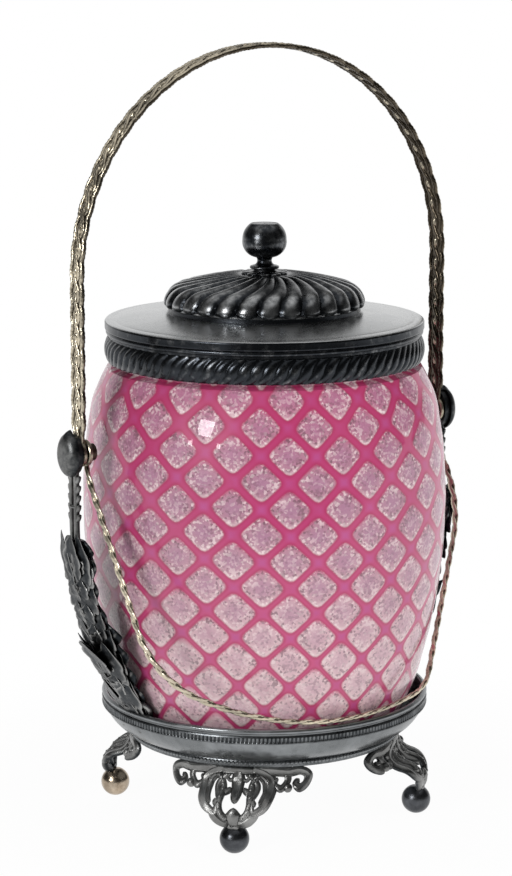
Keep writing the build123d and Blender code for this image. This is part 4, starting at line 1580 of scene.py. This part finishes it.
@dataclass
class Feet:
    """Four cast ball feet under four pierced scroll legs."""

    finishes: Finishes
    circle: float = 66.6
    top_radius: float = 57.0
    height: float = 22.3
    reach: float = 14.0
    rib_bead: float = 0.85
    rib_bead_pitch: float = 1.9
    wing_bead: tuple[float, float, float] = (20.4, 0.62, 2.0)
    inner_bead: tuple[float, float, float] = (6.6, 0.50, 1.15)

    def sheet(self) -> Sheet:
        """The S-bent sheet of a leg: straight below the ring, bellied to the knee, out to the ankle.

        Returns:
            The sheet.
        """
        spread = self.circle - self.top_radius
        knee = (self.top_radius + 0.72 * spread, LEVELS.leg_bottom + 0.52 * self.height)
        hip = (self.top_radius, LEVELS.leg_top - 0.1 * self.height)
        belly = arc_tangent(hip, (0, -1), knee, 20)
        lower = arc_tangent(knee, end_heading(belly), (self.circle, LEVELS.leg_bottom - 1), 20)
        return Sheet(joined([(self.top_radius, LEVELS.leg_top + 1), hip], belly, lower), True)

    def flat(self, *points: tuple, unit: float = 1.0, step: float = 0.5) -> Array:
        """A smooth line through points given as (across in units, share of the leg's height)."""
        return smooth_line(*((unit * x, LEVELS.leg_bottom + self.height * z) for x, z in points), step=step)

    def half(self, leg: Ornament, side: int) -> None:
        """Half of the openwork: every stroke of the table, then the beads.

        The beads stand along the rib, in the wing's curl and inside the C scroll.

        Args:
            leg: The leg.
            side: 1 or -1, the half of the leg.
        """
        lines = {}
        for name, part in OPENWORK.items():
            lines[name] = self.flat(*part.points, unit=side * self.reach, step=0.55)
            width = tapering(lines[name], (0, 0.5, 1), part.widths)
            leg.stroke(lines[name], width, part.thick, part.proud, part.groove)
        row = evenly(lines["rib"], self.rib_bead_pitch)[1:-1]
        pair = (self.wing_bead, self.inner_bead)
        single = [(side * x, LEVELS.leg_bottom + self.height * z) for x, z, _ in pair]
        sizes = np.array([self.rib_bead] * len(row) + [bead[2] for bead in pair])
        proud = np.array([0.95] * len(row) + [0.2, 0.3])
        places = leg.sheet.place(*np.concatenate([row, single]).T, proud)
        leg.add_copies(ball_template(1.0, 6, 10), places, sizes, 0.95)

    def leg(self) -> Ornament:
        """One leg at bearing zero: band, tongue, both halves, knuckle and ankle collar.

        Returns:
            The leg's shell.
        """
        leg = Ornament(sheet=self.sheet())
        leg.stroke(self.flat((-22.5, 0.925), (0, 0.915), (22.5, 0.925), step=1.2), 1.75, 1.3, 0.0, 0.35)
        tongue = self.flat((0, 0.94), (0, 0.75), (0, 0.42), step=0.6)
        leg.stroke(tongue, tapering(tongue, (0, 0.35, 0.8, 1), (2.2, 3.0, 2.3, 1.2)), 1.5, 0.2, 0.4)
        for side in (-1, 1):
            self.half(leg, side)
            curl = self.flat((3.0, 0.86), (4.6, 0.80), (3.4, 0.73), (2.2, 0.77), unit=side)
            leg.stroke(curl, 0.8, 1.1, 0.3)
        knuckle = self.flat((0, 0.36), (0, 0.20), (0, 0.06), (0, -0.01))
        girth = tapering(knuckle, (0, 0.3, 0.55, 0.75, 1), (1.6, 3.3, 2.9, 2.1, 2.9))
        leg.stroke(knuckle, girth, 1.9, 0.1, around=16)
        leg.stroke(self.flat((-2.7, 0.035), (0, 0.03), (2.7, 0.035)), 0.9, 2.3)
        return leg

    def ball(self) -> Shell:
        """One ball foot: a sphere ground flat where it stands and seated under the ankle.

        Returns:
            The foot's shell.
        """
        radius, centre = LEVELS.ball_radius, LEVELS.ball_centre
        ends = np.arcsin((-centre / radius, (LEVELS.leg_bottom - centre) / radius))
        latitude = np.linspace(*ends, 26)[:, None]
        grid = radius * polar(np.cos(latitude), full_turn(44), np.sin(latitude)) + (self.circle, 0, centre)
        grid[..., 2] = np.maximum(grid[..., 2], 0.0)
        return Shell().add(grid, 0.55)

    def build(self) -> None:
        """Build the four feet and legs, a quarter turn apart."""
        leg, ball, frame = self.leg(), self.ball(), Body.FRAME
        for quarter, place in enumerate(("back_right", "back_left", "front_left", "front_right")):
            turn = spun(45 + 90 * quarter)
            slot = Slot.WORN_FOOT_BALL if place == "back_left" else Slot.FOOT_BALL
            ball.turned(turn).piece("ball_" + place, self.finishes, frame, slot, "ball_foot_" + place)
            leg.turned(turn).piece("scroll_leg_" + place, self.finishes, frame, Slot.CASTING, "leg_" + place)


# ---- brackets and bosses
@dataclass
class Brackets:
    """The two acanthus brackets, from their roots in the tray up to the hinge, and their bosses."""

    finishes: Finishes
    thickness: float = 2.6
    inner_x: float = 92.8
    bore: float = 1.65
    boss_half_width: float = 7.0
    boss_half_height: float = 9.3
    boss_depth: float = 4.38
    head_margin: float = 1.2
    stem_length: float = 27.0
    teeth: int = 5
    tooth_pitch: float = 4.0
    leaf_half_width: float = 15.5
    outline: tuple = ((0, 0.10, 0.30, 0.52, 0.66, 0.80, 0.94, 1.0),
                      (0.66, 0.78, 0.93, 1.0, 0.66, 0.68, 0.78, 0.45))
    tiers: int = 7
    ruffle_pitch: float = 9.5
    ruffle_depth: float = 0.20
    ruffle_curl: float = 1.2
    vein_pitch: float = 4.4
    vein_slope: float = 1.1
    vein_height: float = 0.24
    midrib_height: float = 1.2
    strips: tuple[float, ...] = (-10.5, -6.3, -2.1, 2.1, 6.3, 10.5)
    cup: float = 0.018
    bracket: Ornament = field(init=False)

    def __post_init__(self) -> None:
        """Start the right-hand bracket's shell."""
        self.bracket = Ornament(sheet=self.sheet())

    def sheet(self) -> Sheet:
        """The bracket's side: upright stem, bowed leaf and root inside the rim.

        Returns:
            The sheet that carries the ornament.
        """
        x, wall, wall_top = LEVELS.bracket_x, LEVELS.tray_wall_radius, LEVELS.tray_wall_top
        stem_foot = (x, LEVELS.hinge - self.stem_length)
        waist = (0.5 * (x + wall) + 0.85 * self.thickness, wall_top + 0.40 * (stem_foot[1] - wall_top))
        root = (wall - 3.0, wall_top + 2)
        bow = arc_tangent(stem_foot, (0, -1), waist, 24)
        heel = arc_tangent(waist, end_heading(bow), root, 20)
        ends = [(x, LEVELS.hinge + 8), stem_foot], [(root[0] - 0.4, LEVELS.tray_floor + 4)]
        return Sheet(joined(ends[0], bow, heel, ends[1]), False, self.cup)

    def body(self) -> None:
        """The leaf's body: a veined, cupped plate with a ruffled edge.

        The half width follows a few stations from foot to crown and is scalloped by |sin| of the
        height; veins are a sine of the height less the distance from the midrib, and the edge
        curls outwards with the sixth power of that distance.
        """
        low, top = LEVELS.tray_floor + 8, LEVELS.hinge - 35
        share = np.linspace(0, 1, 120)[:, None]
        height = low + (top - low) * share
        _, cosine, sine = circle(40)
        ruffle = np.sin(pi * height / self.ruffle_pitch)
        width = np.interp(share, *self.outline)
        half = self.leaf_half_width * width * (1 - self.ruffle_depth + self.ruffle_depth * np.abs(ruffle))
        across = half * cosine
        reach = np.abs(cosine)
        rows = (height - self.vein_slope * np.abs(across)) / self.vein_pitch
        vein = np.sin(2 * pi * rows) * np.clip(1.3 * reach, 0, 1)
        curl = self.ruffle_curl * reach**6 * ruffle**2
        midrib = self.midrib_height * np.exp(-((across / 1.6) ** 2))
        front = (0.9 + self.vein_height * vein + curl + midrib) * np.abs(sine) ** 0.5
        back = curl * reach - np.abs(sine) ** 0.5
        grid = self.bracket.sheet.place(across, height, np.where(sine > 0, front, back))
        self.bracket.add(grid, np.clip(0.32 + 0.3 * vein + 0.25 * midrib, 0, 1))

    def leaf(self) -> None:
        """The leaflets on the body: pairs that curl off it in tiers, from the foot to the crown."""
        low, top = LEVELS.tray_floor + 8, LEVELS.hinge - 40
        for number in range(self.tiers):
            share = number / (self.tiers - 1)
            full = float(np.interp(share, (0, 0.3, 0.55, 0.7, 1.0), (0.75, 1.0, 1.0, 0.72, 0.85)))
            base = low + (top - low) * (0.02 + 0.80 * share)
            length, lean, curl = self.leaf_half_width * full * 1.12, 54 - 12 * share, 0.3 + 0.5 * (number % 2)
            large = Leaflet(1.5, base, lean, length, 5.6, curl, 0.6, 3.5, 2.0)
            small = Leaflet(2.2, base + 5, lean - 26, length * 0.62, 4.0, 0.6, 1.2, 2.5, 1.7)
            for side in (-1, 1):
                self.bracket.blade(large, side)
                self.bracket.blade(small, side)

    def tips(self) -> None:
        """The leaf tips that curl outwards at the crown and at the waist, and the low inner ones."""
        crown, waist = LEVELS.hinge - 47, LEVELS.hinge - 84
        self.bracket.blade(Leaflet(0, crown - 6, 0, 21, 5.0, 3.4, 1.2, 3.0, 1.6))
        self.bracket.blade(Leaflet(0, waist - 10, 0, 20, 6.0, 7.6, 1.6, 3.0, 1.8))
        for side in (-1, 1):
            self.bracket.blade(Leaflet(4, crown - 9, 16, 24, 4.4, 2.4, 1.0, 2.5, 1.4), side)
            self.bracket.blade(Leaflet(5, waist - 12, 24, 20, 5.2, 3.0, 1.2, 2.5, 1.8), side)
            self.bracket.blade(Leaflet(3, waist - 28, 34, 19, 5.0, 1.2, 1.0, 2.5, 1.8), side)

    def root(self) -> None:
        """The root that splays into grooved strips inside the tray's rim."""
        foot = LEVELS.tray_floor + 4.3
        for x in self.strips:
            marks = ((1.08, 0), (0.95, 9), (0.55, 22), (0.2, 34))
            strip = smooth_line(*((x * share, foot + rise) for share, rise in marks), step=1.1)
            self.bracket.stroke(strip, tapering(strip, (0, 0.3, 1), (1.5, 1.9, 0.8)), 1.15, 0.35, 0.3)
            curl = smooth_line((x * 1.05, foot + 10), (x * 1.25, foot + 14), (x * 1.1 + 1, foot + 17))
            self.bracket.stroke(curl, 0.8, 1.0, 1.0)

    def stem(self) -> None:
        """The stem: two rods with a gap, and small serrations down both edges."""
        top, low = LEVELS.hinge - self.boss_half_height + 3, LEVELS.hinge - self.stem_length - 12
        for side in (-1, 1):
            rod = smooth_line((side * 1.7, top), (side * 1.9, top - 12), (side * 1.6, low), step=0.9)
            self.bracket.stroke(rod, 1.05, 1.25)
            for number in range(self.teeth):
                z = top - 5.5 - self.tooth_pitch * number
                tooth = smooth_line((side * 1.9, z), (side * 3.3, z + 1.6), (side * 3.7, z + 3.4), step=0.5)
                self.bracket.stroke(tooth, tapering(tooth, (0, 1), (1.1, 0.5)), 1.0)
        bridge = smooth_line((-2.6, top - 15), (0, top - 15.4), (2.6, top - 15), step=0.5)
        self.bracket.stroke(bridge, 0.9, 1.5)

    def head(self) -> None:
        """The oval head, bored for the pin: an outline swept from the bore to the rim."""
        angle, cosine, sine = circle(48)
        outer = self.inner_x + self.thickness
        wide, tall = self.boss_half_width - self.head_margin, self.boss_half_height - self.head_margin
        across = np.array([self.bore, self.bore, wide, wide])[:, None] * cosine
        up = np.array([self.bore, self.bore, tall, tall])[:, None] * sine
        depth = np.array([self.inner_x, outer, outer, self.inner_x])[:, None] * np.ones_like(angle)
        self.bracket.add(np.stack([depth, across, up + LEVELS.hinge], axis=-1), 0.4, closed_rows=True)

    def boss(self) -> Shell:
        """The oval boss: a shallow dome with a rolled edge and a small point at its top.

        Returns:
            The right-hand boss's shell.
        """
        share = np.array([1.0, 1.0, 0.985, 0.95, 0.90, 0.82, 0.70, 0.55, 0.38, 0.2, 0.06])[:, None]
        rise = np.array([0.0, 0.10, 0.24, 0.40, 0.55, 0.70, 0.84, 0.93, 0.98, 0.995, 1.0])[:, None]
        angle, cosine, sine = circle(56)
        point = 1 + 0.10 * np.exp(-(((angle - pi / 2) / 0.16) ** 2)) * (share > 0.8)
        depth = self.inner_x + self.thickness + self.boss_depth * rise * np.ones_like(angle)
        up = LEVELS.hinge + self.boss_half_height * share * sine * point
        grid = np.stack([depth, self.boss_half_width * share * cosine, up], axis=-1)
        return Shell().add(grid, 0.35 + 0.3 * rise)

    def build(self) -> None:
        """Build both brackets and bosses, the left ones mirrored."""
        for build in (self.body, self.leaf, self.tips, self.root, self.stem, self.head):
            build()
        for side in Side:
            mirror = np.diag([float(side.value), 1.0, 1.0])
            end = side.name.lower()
            pieces = {"leaf_bracket_": (self.bracket, "bracket_"), "oval_boss_": (self.boss(), "boss_")}
            for name, (shell, node) in pieces.items():
                shell.turned(mirror).piece(name + end, self.finishes, Body.FRAME, Slot.CASTING, node + end)


# ---- bails
@dataclass
class Bail:
    """One bail: two strands that cross once a unit over a thin backing, with an eye at each end.

    Swing, strand and half_thick are the strands' sway, half width and half thickness; wear is
    their least relief, and inner_face_relief the share of the relief on the inner face, which makes
    that face darker. Edge is how far from the middle the cords along the edges run, or 0 for none.
    """

    finishes: Finishes
    name: str
    node: str
    body: Body
    path: Array
    eye_x: float
    unit: float
    swing: float
    strand: float
    half_thick: float
    wear: float
    inner_face_relief: float
    lean: float = 0.0
    offset: float = 0.0
    edge: float = 0.0
    backing_half: float = 0.45
    strand_lift: float = 0.35
    strand_thread: float = 2.4
    cord_thread: float = 1.9
    cord_bow: float = 0.8
    eye_section: tuple = ((1.65, -0.9), (5.2, -0.9), (5.6, -0.55), (5.6, 0.55), (5.2, 0.9), (1.65, 0.9))
    shell: Shell = field(default_factory=Shell)

    def frame_at(self, points: Array, across: Array, proud: Array) -> Array:
        """Carry strap coordinates to space.

        The path lies in the XZ plane through the hinge line; across runs along Y, proud along
        the path's inward normal, and the whole is leaned forward about the hinge.

        Args:
            points: Path points (x, z) and their unit normals, of shape (..., 4).
            across: Distance across the strap.
            proud: Distance off the strap's middle plane.

        Returns:
            Points in space.
        """
        x = points[..., 0] + points[..., 2] * proud
        z = points[..., 1] + points[..., 3] * proud
        c, s = cos(radians(self.lean)), sin(radians(self.lean))
        return np.stack([x, across * c + z * s, -across * s + z * c + LEVELS.hinge], axis=-1)

    def units(self) -> int:
        """Whole number of units along the path."""
        return round(arc_lengths(self.path)[-1] / self.unit)

    def rail(self, step: float) -> tuple[Array, Array, Array, Array]:
        """Stations along the path.

        The pattern narrows to the eye at both ends, by a smooth step of the distance from the end.

        Args:
            step: Distance between stations.

        Returns:
            Points with their normals, distances along the path, the pattern's phase, which grows
            by pi a unit, and the share of the pattern's full width; the last three as columns.
        """
        line = evenly(self.path, step)
        length = arc_lengths(line)[:, None]
        phase = pi * length / length[-1] * self.units()
        run_in = 0.55 + 0.45 * ramp(np.minimum(length, length[-1] - length), 4.0, 12.0)
        return np.concatenate([line, left_normals(line)], axis=1)[:, None], length, phase, run_in

    def backing(self) -> None:
        """The thin plate under the strands, as wide as they are at each point."""
        rail, _, phase, run_in = self.rail(1.1)
        half = np.maximum(self.swing * np.abs(np.sin(phase)) + 0.92 * self.strand, self.edge) * run_in
        _, cosine, sine = circle(12)
        proud = self.backing_half * np.sign(sine) * np.abs(sine) ** 0.4 * np.ones_like(half)
        self.shell.add(self.frame_at(rail, self.offset * run_in + half * cosine, proud), 0.05)

    def strands(self) -> None:
        """The two strands.

        Each swings across the strap as the sine of the phase, the other the opposite way, and
        rises over or dips under the other as the cosine; its section is an ellipse whose surface
        is wound with fine threads, a sine of twice the angle plus the distance.
        """
        rail, length, phase, run_in = self.rail(0.5)
        angle, cosine, sine = circle(14)
        thread = 1 + 0.07 * np.sin(2 * angle + 2 * pi * length / self.strand_thread)
        thick = 0.93 * (self.half_thick - self.strand_lift)
        for side in (-1, 1):
            middle = self.offset * run_in + side * self.swing * run_in * np.sin(phase)
            across = middle + self.strand * run_in * thread * cosine
            proud = self.strand_lift * side * np.cos(phase) + thick * thread * sine
            relief = self.wear + (1 - self.wear) * np.abs(sine) ** 1.5 * thread
            self.shell.add(self.frame_at(rail, across, proud), np.clip(relief, 0, 1) * self.faces(sine))

    def faces(self, sine: Array) -> Array:
        """Share of the relief round a section: full outside, a smaller share on the inner face, which comes
        out darker.
        """
        # The inner face gets a smaller share of the relief, so it comes out darker.
        return np.where(sine > 0.1, self.inner_face_relief, 1.0)

    def cords(self) -> None:
        """The thread-wound cord along each edge, which bows out a little beside every bead."""
        rail, length, phase, run_in = self.rail(0.6)
        angle, cosine, sine = circle(10)
        thread = 1 + 0.10 * np.sin(2 * angle + 2 * pi * length / self.cord_thread)
        relief = np.clip(0.25 + 0.6 * np.abs(sine) * thread, 0, 1) * self.faces(sine)
        for side in (-1, 1):
            middle = side * (self.edge + self.cord_bow * (np.abs(np.sin(phase)) - 0.5)) * run_in
            across = middle + 0.95 * thread * cosine
            self.shell.add(self.frame_at(rail, across, thread * sine), relief)

    def beads(self) -> None:
        """A long bead in each eye of the strands."""
        rail = self.rail(arc_lengths(self.path)[-1] / (2 * self.units()))[0][3:-3:2, 0]
        none = np.zeros(len(rail))
        places = self.frame_at(rail, none + self.offset, none)
        c, s = cos(radians(self.lean)), sin(radians(self.lean))
        along = np.stack([rail[:, 3], -rail[:, 2] * s, -rail[:, 2] * c], axis=1)
        sideways = np.broadcast_to([0, c, -s], along.shape)
        frames = np.stack([along, sideways, np.cross(along, sideways)], axis=2)
        size = np.array([2.3, 0.6 * self.swing, 0.95 * self.half_thick])
        self.shell.add_copies(ball_template(1.0, 4, 8), places, frames * size, 0.8)

    def eyes(self) -> None:
        """The round eye at each end, bored for the hinge pin."""
        angle, cosine, sine = circle(40)
        section = np.array(self.eye_section)
        radius, depth = section[:, :1], section[:, 1:]
        for side in (-1, 1):
            up = radius * sine
            x = side * self.eye_x + depth * np.ones_like(angle)
            points = np.stack([x, up, 0 * x, 0 * x], axis=-1)
            self.shell.add(self.frame_at(points, radius * cosine, 0 * angle), 0.6, closed_rows=True)

    def build(self) -> None:
        """Build the bail."""
        self.backing()
        self.strands()
        if self.edge:
            self.cords()
        self.beads()
        self.eyes()
        self.shell.piece(self.name, self.finishes, self.body, Slot.BAIL_STRAP, self.node)


@dataclass
class Bails:
    """The tall carrying bail and the short bail that lies over the front of the tray.

    Shoulder and corner are arcs of the short bail as (radius, turn in degrees); sweep is another
    whose radius is a share of the half width.
    """

    finishes: Finishes
    tall_rise: float = 162.5
    short_lean: float = 2.0
    bead_overlap: float = 1.2
    bead_clearance: float = 0.8
    strap_depth: float = 0.9
    shoulder: tuple[float, float] = (39.0, 58.0)
    sweep: tuple[float, float] = (1.42, 48.0)
    corner: tuple[float, float] = (20.0, 41.0)
    knee: float = 60.0

    def tall_path(self) -> Array:
        """Straight legs under a half-round arch, in (x, z) from the hinge line.

        Returns:
            Points from the right eye to the left one.
        """
        reach = LEVELS.tall_bail_x
        spring = self.tall_rise - reach
        arch = arc_through((-reach, spring), (0, self.tall_rise), (reach, spring), 160)
        return joined([(-reach, 0)], arch, [(reach, 0)])[::-1]

    def short_path(self) -> Array:
        """Down from the left eye, round a shoulder, along a flat sweep, round a corner and up a slant.

        Returns:
            Points (x, z) from the hinge line.
        """
        half = LEVELS.short_bail_x
        reach = hypot(LEVELS.bead_radius, LEVELS.hinge - LEVELS.bead_height) - self.bead_overlap
        depth = reach - self.bead_clearance - self.strap_depth
        sweep_radius = self.sweep[0] * half
        turn = radians(self.shoulder[1])
        drop = self.shoulder[0] * sin(turn) + sweep_radius * (1 - sin(turn))
        left = np.array([(-half, 0.0), (-half, drop - depth)])
        bend = arc_turning(left[1], (0.0, -1.0), *self.shoulder)
        flat = arc_turning(bend[-1], end_heading(bend), sweep_radius, self.sweep[1], 60)
        corner = arc_turning(flat[-1], end_heading(flat), *self.corner)
        heading = end_heading(corner)
        rise = atan2(heading[1], heading[0])
        knee_turn = pi / 2 - rise
        run = half - corner[-1][0] - self.knee * (1 - cos(knee_turn))
        slant_end = corner[-1] + heading * run / cos(rise)
        knee = arc_turning(slant_end, heading, self.knee, degrees(knee_turn))
        return joined(left, bend, flat, corner, [slant_end], knee, [(half, 0.0)])

    def build(self) -> None:
        """Build both bails in their rest places."""
        Bail(self.finishes, "tall_handle", "tall_bail", Body.TALL_BAIL, self.tall_path(),
             LEVELS.tall_bail_x, unit=8.7, swing=1.5, strand=1.35, half_thick=1.35, wear=0.1,
             inner_face_relief=0.2, edge=3.65).build()
        lean = degrees(atan2(LEVELS.bead_radius, LEVELS.hinge - LEVELS.bead_height)) + self.short_lean
        Bail(self.finishes, "short_handle", "short_bail", Body.SHORT_BAIL, self.short_path(),
             LEVELS.short_bail_x, unit=7.6, swing=0.85, strand=1.3, half_thick=1.05, wear=0.95,
             inner_face_relief=1.0, lean=lean, offset=3.4).build()


# ---- studio
@dataclass(frozen=True)
class Lamp:
    """A soft rectangular lamp that faces the jar.

    Its turn is its bearing in degrees to the left of the direction from the jar to the camera,
    its distance is taken from the jar's axis, and mirrored says whether it shows in metal and
    glass. Lengths are in metres, the power in watts.
    """

    name: str
    turn: float
    height: float
    distance: float
    size: tuple[float, float]
    power: float
    mirrored: bool = False


LAMPS = (
    Lamp("window_lamp", turn=38.5, height=0.65, distance=1.5, size=(0.40, 0.50), power=11.0, mirrored=True),
    Lamp("right_lamp", turn=-58.0, height=0.6, distance=1.7, size=(1.2, 1.2), power=15.0),
    Lamp("top_lamp", turn=10.0, height=2.0, distance=0.5, size=(1.0, 1.0), power=4.0),
)


@dataclass
class Studio:
    """Pale floor, soft lamps, plain surroundings and the camera; lengths are in metres."""

    camera_place: tuple[float, float, float] = (-0.6776, -0.9904, 0.3917)
    camera_aim: tuple[float, float, float] = (0.552, 0.812, -0.1882)
    lens: float = 118.03
    sensor: float = 36.0
    view_bearing: float = 34.2
    lamp_aim: tuple[float, float, float] = (0.0, 0.0, 0.15)
    floor_radius: float = 12.0
    floor_grey: float = 0.86
    shadow_ends: tuple[float, float] = (0.09, 0.28)
    shadow_glow: float = 0.965
    dusk_ends: tuple[float, float] = (-0.32, -0.80)
    dusk_depth: float = 0.92
    wall_facing: tuple[float, ...] = (0.45, 0.90, 0.06, 1.0)
    wall_height: tuple[float, ...] = (0.55, 0.25, 0.15, 1.0)
    ceiling: tuple[float, ...] = (0.62, 0.95, 0.05, 0.75)
    plain_light: float = 0.38

    def away(self) -> Array:
        """Level unit direction away from the camera."""
        return np.array([sin(radians(self.view_bearing)), cos(radians(self.view_bearing)), 0.0])

    def placed(self, name: str, data: bpy.types.ID, place: tuple, aim: Vector) -> bpy.types.Object:
        """Link an object at a place.

        Args:
            name: Its name.
            data: The camera or lamp.
            place: Its location.
            aim: Direction of its -Z axis.

        Returns:
            The new object.
        """
        rig = bpy.data.objects.new(name, data)
        rig.location = place
        rig.rotation_euler = aim.to_track_quat("-Z", "Y").to_euler()
        bpy.context.scene.collection.objects.link(rig)
        return rig

    def camera(self) -> None:
        """Place the camera."""
        data = bpy.data.cameras.new("camera")
        data.lens, data.sensor_width, data.clip_end = self.lens, self.sensor, 60.0
        bpy.context.scene.camera = self.placed("camera", data, self.camera_place, Vector(self.camera_aim))

    def lamp(self, lamp: Lamp) -> None:
        """Place one lamp.

        Args:
            lamp: Its place and power.
        """
        data = bpy.data.lights.new(lamp.name, "AREA")
        data.shape, data.energy = "RECTANGLE", lamp.power
        data.size, data.size_y = lamp.size
        bearing = radians(180 + self.view_bearing + lamp.turn)
        place = (lamp.distance * sin(bearing), lamp.distance * cos(bearing), lamp.height)
        rig = self.placed(lamp.name, data, place, Vector(self.lamp_aim) - Vector(place))
        rig.visible_glossy = lamp.mirrored

    def floor(self) -> None:
        """A wide pale floor that shows near white and keeps the jar's soft shadow.

        To the camera and to mirrors it glows, a little less round the jar, where the lit matt
        floor shows through; in mirrors the glow fades on the camera's side.
        """
        rim = polar(self.floor_radius, full_turn(64)[0], 0.0)
        mesh = bpy.data.meshes.new("floor")
        mesh.from_pydata(rim.tolist(), [], [list(range(len(rim)))])
        material = bpy.data.materials.new("pale_floor")
        material.use_nodes = True
        nodes = Nodes(material.node_tree)
        material.node_tree.nodes.remove(material.node_tree.nodes["Principled BSDF"])
        rays = nodes.new("ShaderNodeLightPath").outputs
        dusk = nodes.step(nodes.dot(nodes.place(), self.away()), *self.dusk_ends, 0.0, self.dusk_depth)
        strength = nodes.less(1.0, nodes.times(rays["Is Glossy Ray"], dusk))
        glow = nodes.fill(nodes.new("ShaderNodeEmission"), Strength=strength).outputs[0]
        matt = nodes.fill(nodes.new("ShaderNodeBsdfDiffuse"), Color=(self.floor_grey,) * 3).outputs[0]
        distance = nodes.row(nodes.new("ShaderNodeVectorMath", operation="LENGTH"), nodes.place())
        lit = nodes.step(distance.outputs["Value"], *self.shadow_ends, self.shadow_glow, 1.0)
        mirror = nodes.larger(rays["Is Glossy Ray"], rays["Is Transmission Ray"])
        seen = nodes.larger(rays["Is Camera Ray"], mirror)
        final = nodes.blend(seen, matt, nodes.blend(lit, matt, glow))
        nodes.fill(material.node_tree.nodes["Material Output"], Surface=final)
        mesh.materials.append(material)
        floor = bpy.data.objects.new("floor", mesh)
        bpy.context.scene.collection.objects.link(floor)

    def surroundings(self) -> None:
        """The world: white to the camera, a plain grey light, and a wall and ceiling for mirrors.

        The wall stands behind the jar and darkens upwards and towards the camera's side.
        """
        world = bpy.data.worlds.new("surroundings")
        world.use_nodes = True
        bpy.context.scene.world = world
        nodes = Nodes(world.node_tree)
        place = nodes.new("ShaderNodeTexCoord").outputs["Generated"]
        height = nodes.parts(place)[2]
        wall = nodes.times(nodes.step(nodes.dot(place, self.away()), *self.wall_facing),
                           nodes.step(height, *self.wall_height))
        wall = nodes.larger(wall, nodes.step(height, *self.ceiling))
        rays = nodes.new("ShaderNodeLightPath").outputs
        mirror = nodes.larger(rays["Is Glossy Ray"], rays["Is Transmission Ray"])
        plain = nodes.times(nodes.less(1.0, mirror), self.plain_light)
        strength = nodes.larger(rays["Is Camera Ray"], nodes.math("ADD", nodes.times(mirror, wall), plain))
        nodes.fill(world.node_tree.nodes["Background"], Color=(1.0, 1.0, 1.0), Strength=strength)

    def build(self) -> None:
        """Build the studio."""
        self.camera()
        self.floor()
        self.surroundings()
        for lamp in LAMPS:
            self.lamp(lamp)
        bpy.context.scene.view_settings.view_transform = "Standard"


def dress_nodes(frame: dict, finishes: Finishes) -> None:
    """Give the nodes that stay as they are their finishes.

    Args:
        finishes: The finishes.
    """
    plain = {"cover_bezel": Slot.COVER_PLATE, "finial_nut": Slot.COVER_PLATE, "neck_cement": Slot.PLASTER,
             "hinge_pin_right": Slot.BAIL_STRAP, "hinge_pin_left": Slot.BAIL_STRAP}
    for node, slot in plain.items():
        mesh = frame["nodes"][node].data
        mesh.materials.clear()
        mesh.materials.append(finishes.of(slot))
        LOG.info("%s: dressed as it is", node)


def corners(box: tuple) -> list[list[float]]:
    """A box's two corners as plain lists."""
    return [[float(value) for value in corner] for corner in box]


def main() -> None:
    """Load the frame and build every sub-assembly in order."""
    logging.basicConfig(level=logging.INFO, format="%(name)s %(message)s")
    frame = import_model()
    finishes = Finishes()
    dress_nodes(frame, finishes)
    for assembly in (Tray, Feet, GlassBarrel, Collar, Cover, Brackets, Bails):
        assembly(finishes).build()
        LOG.info("%s built", assembly.__name__)
    Studio().build()


if __name__ == "__main__":
    main()
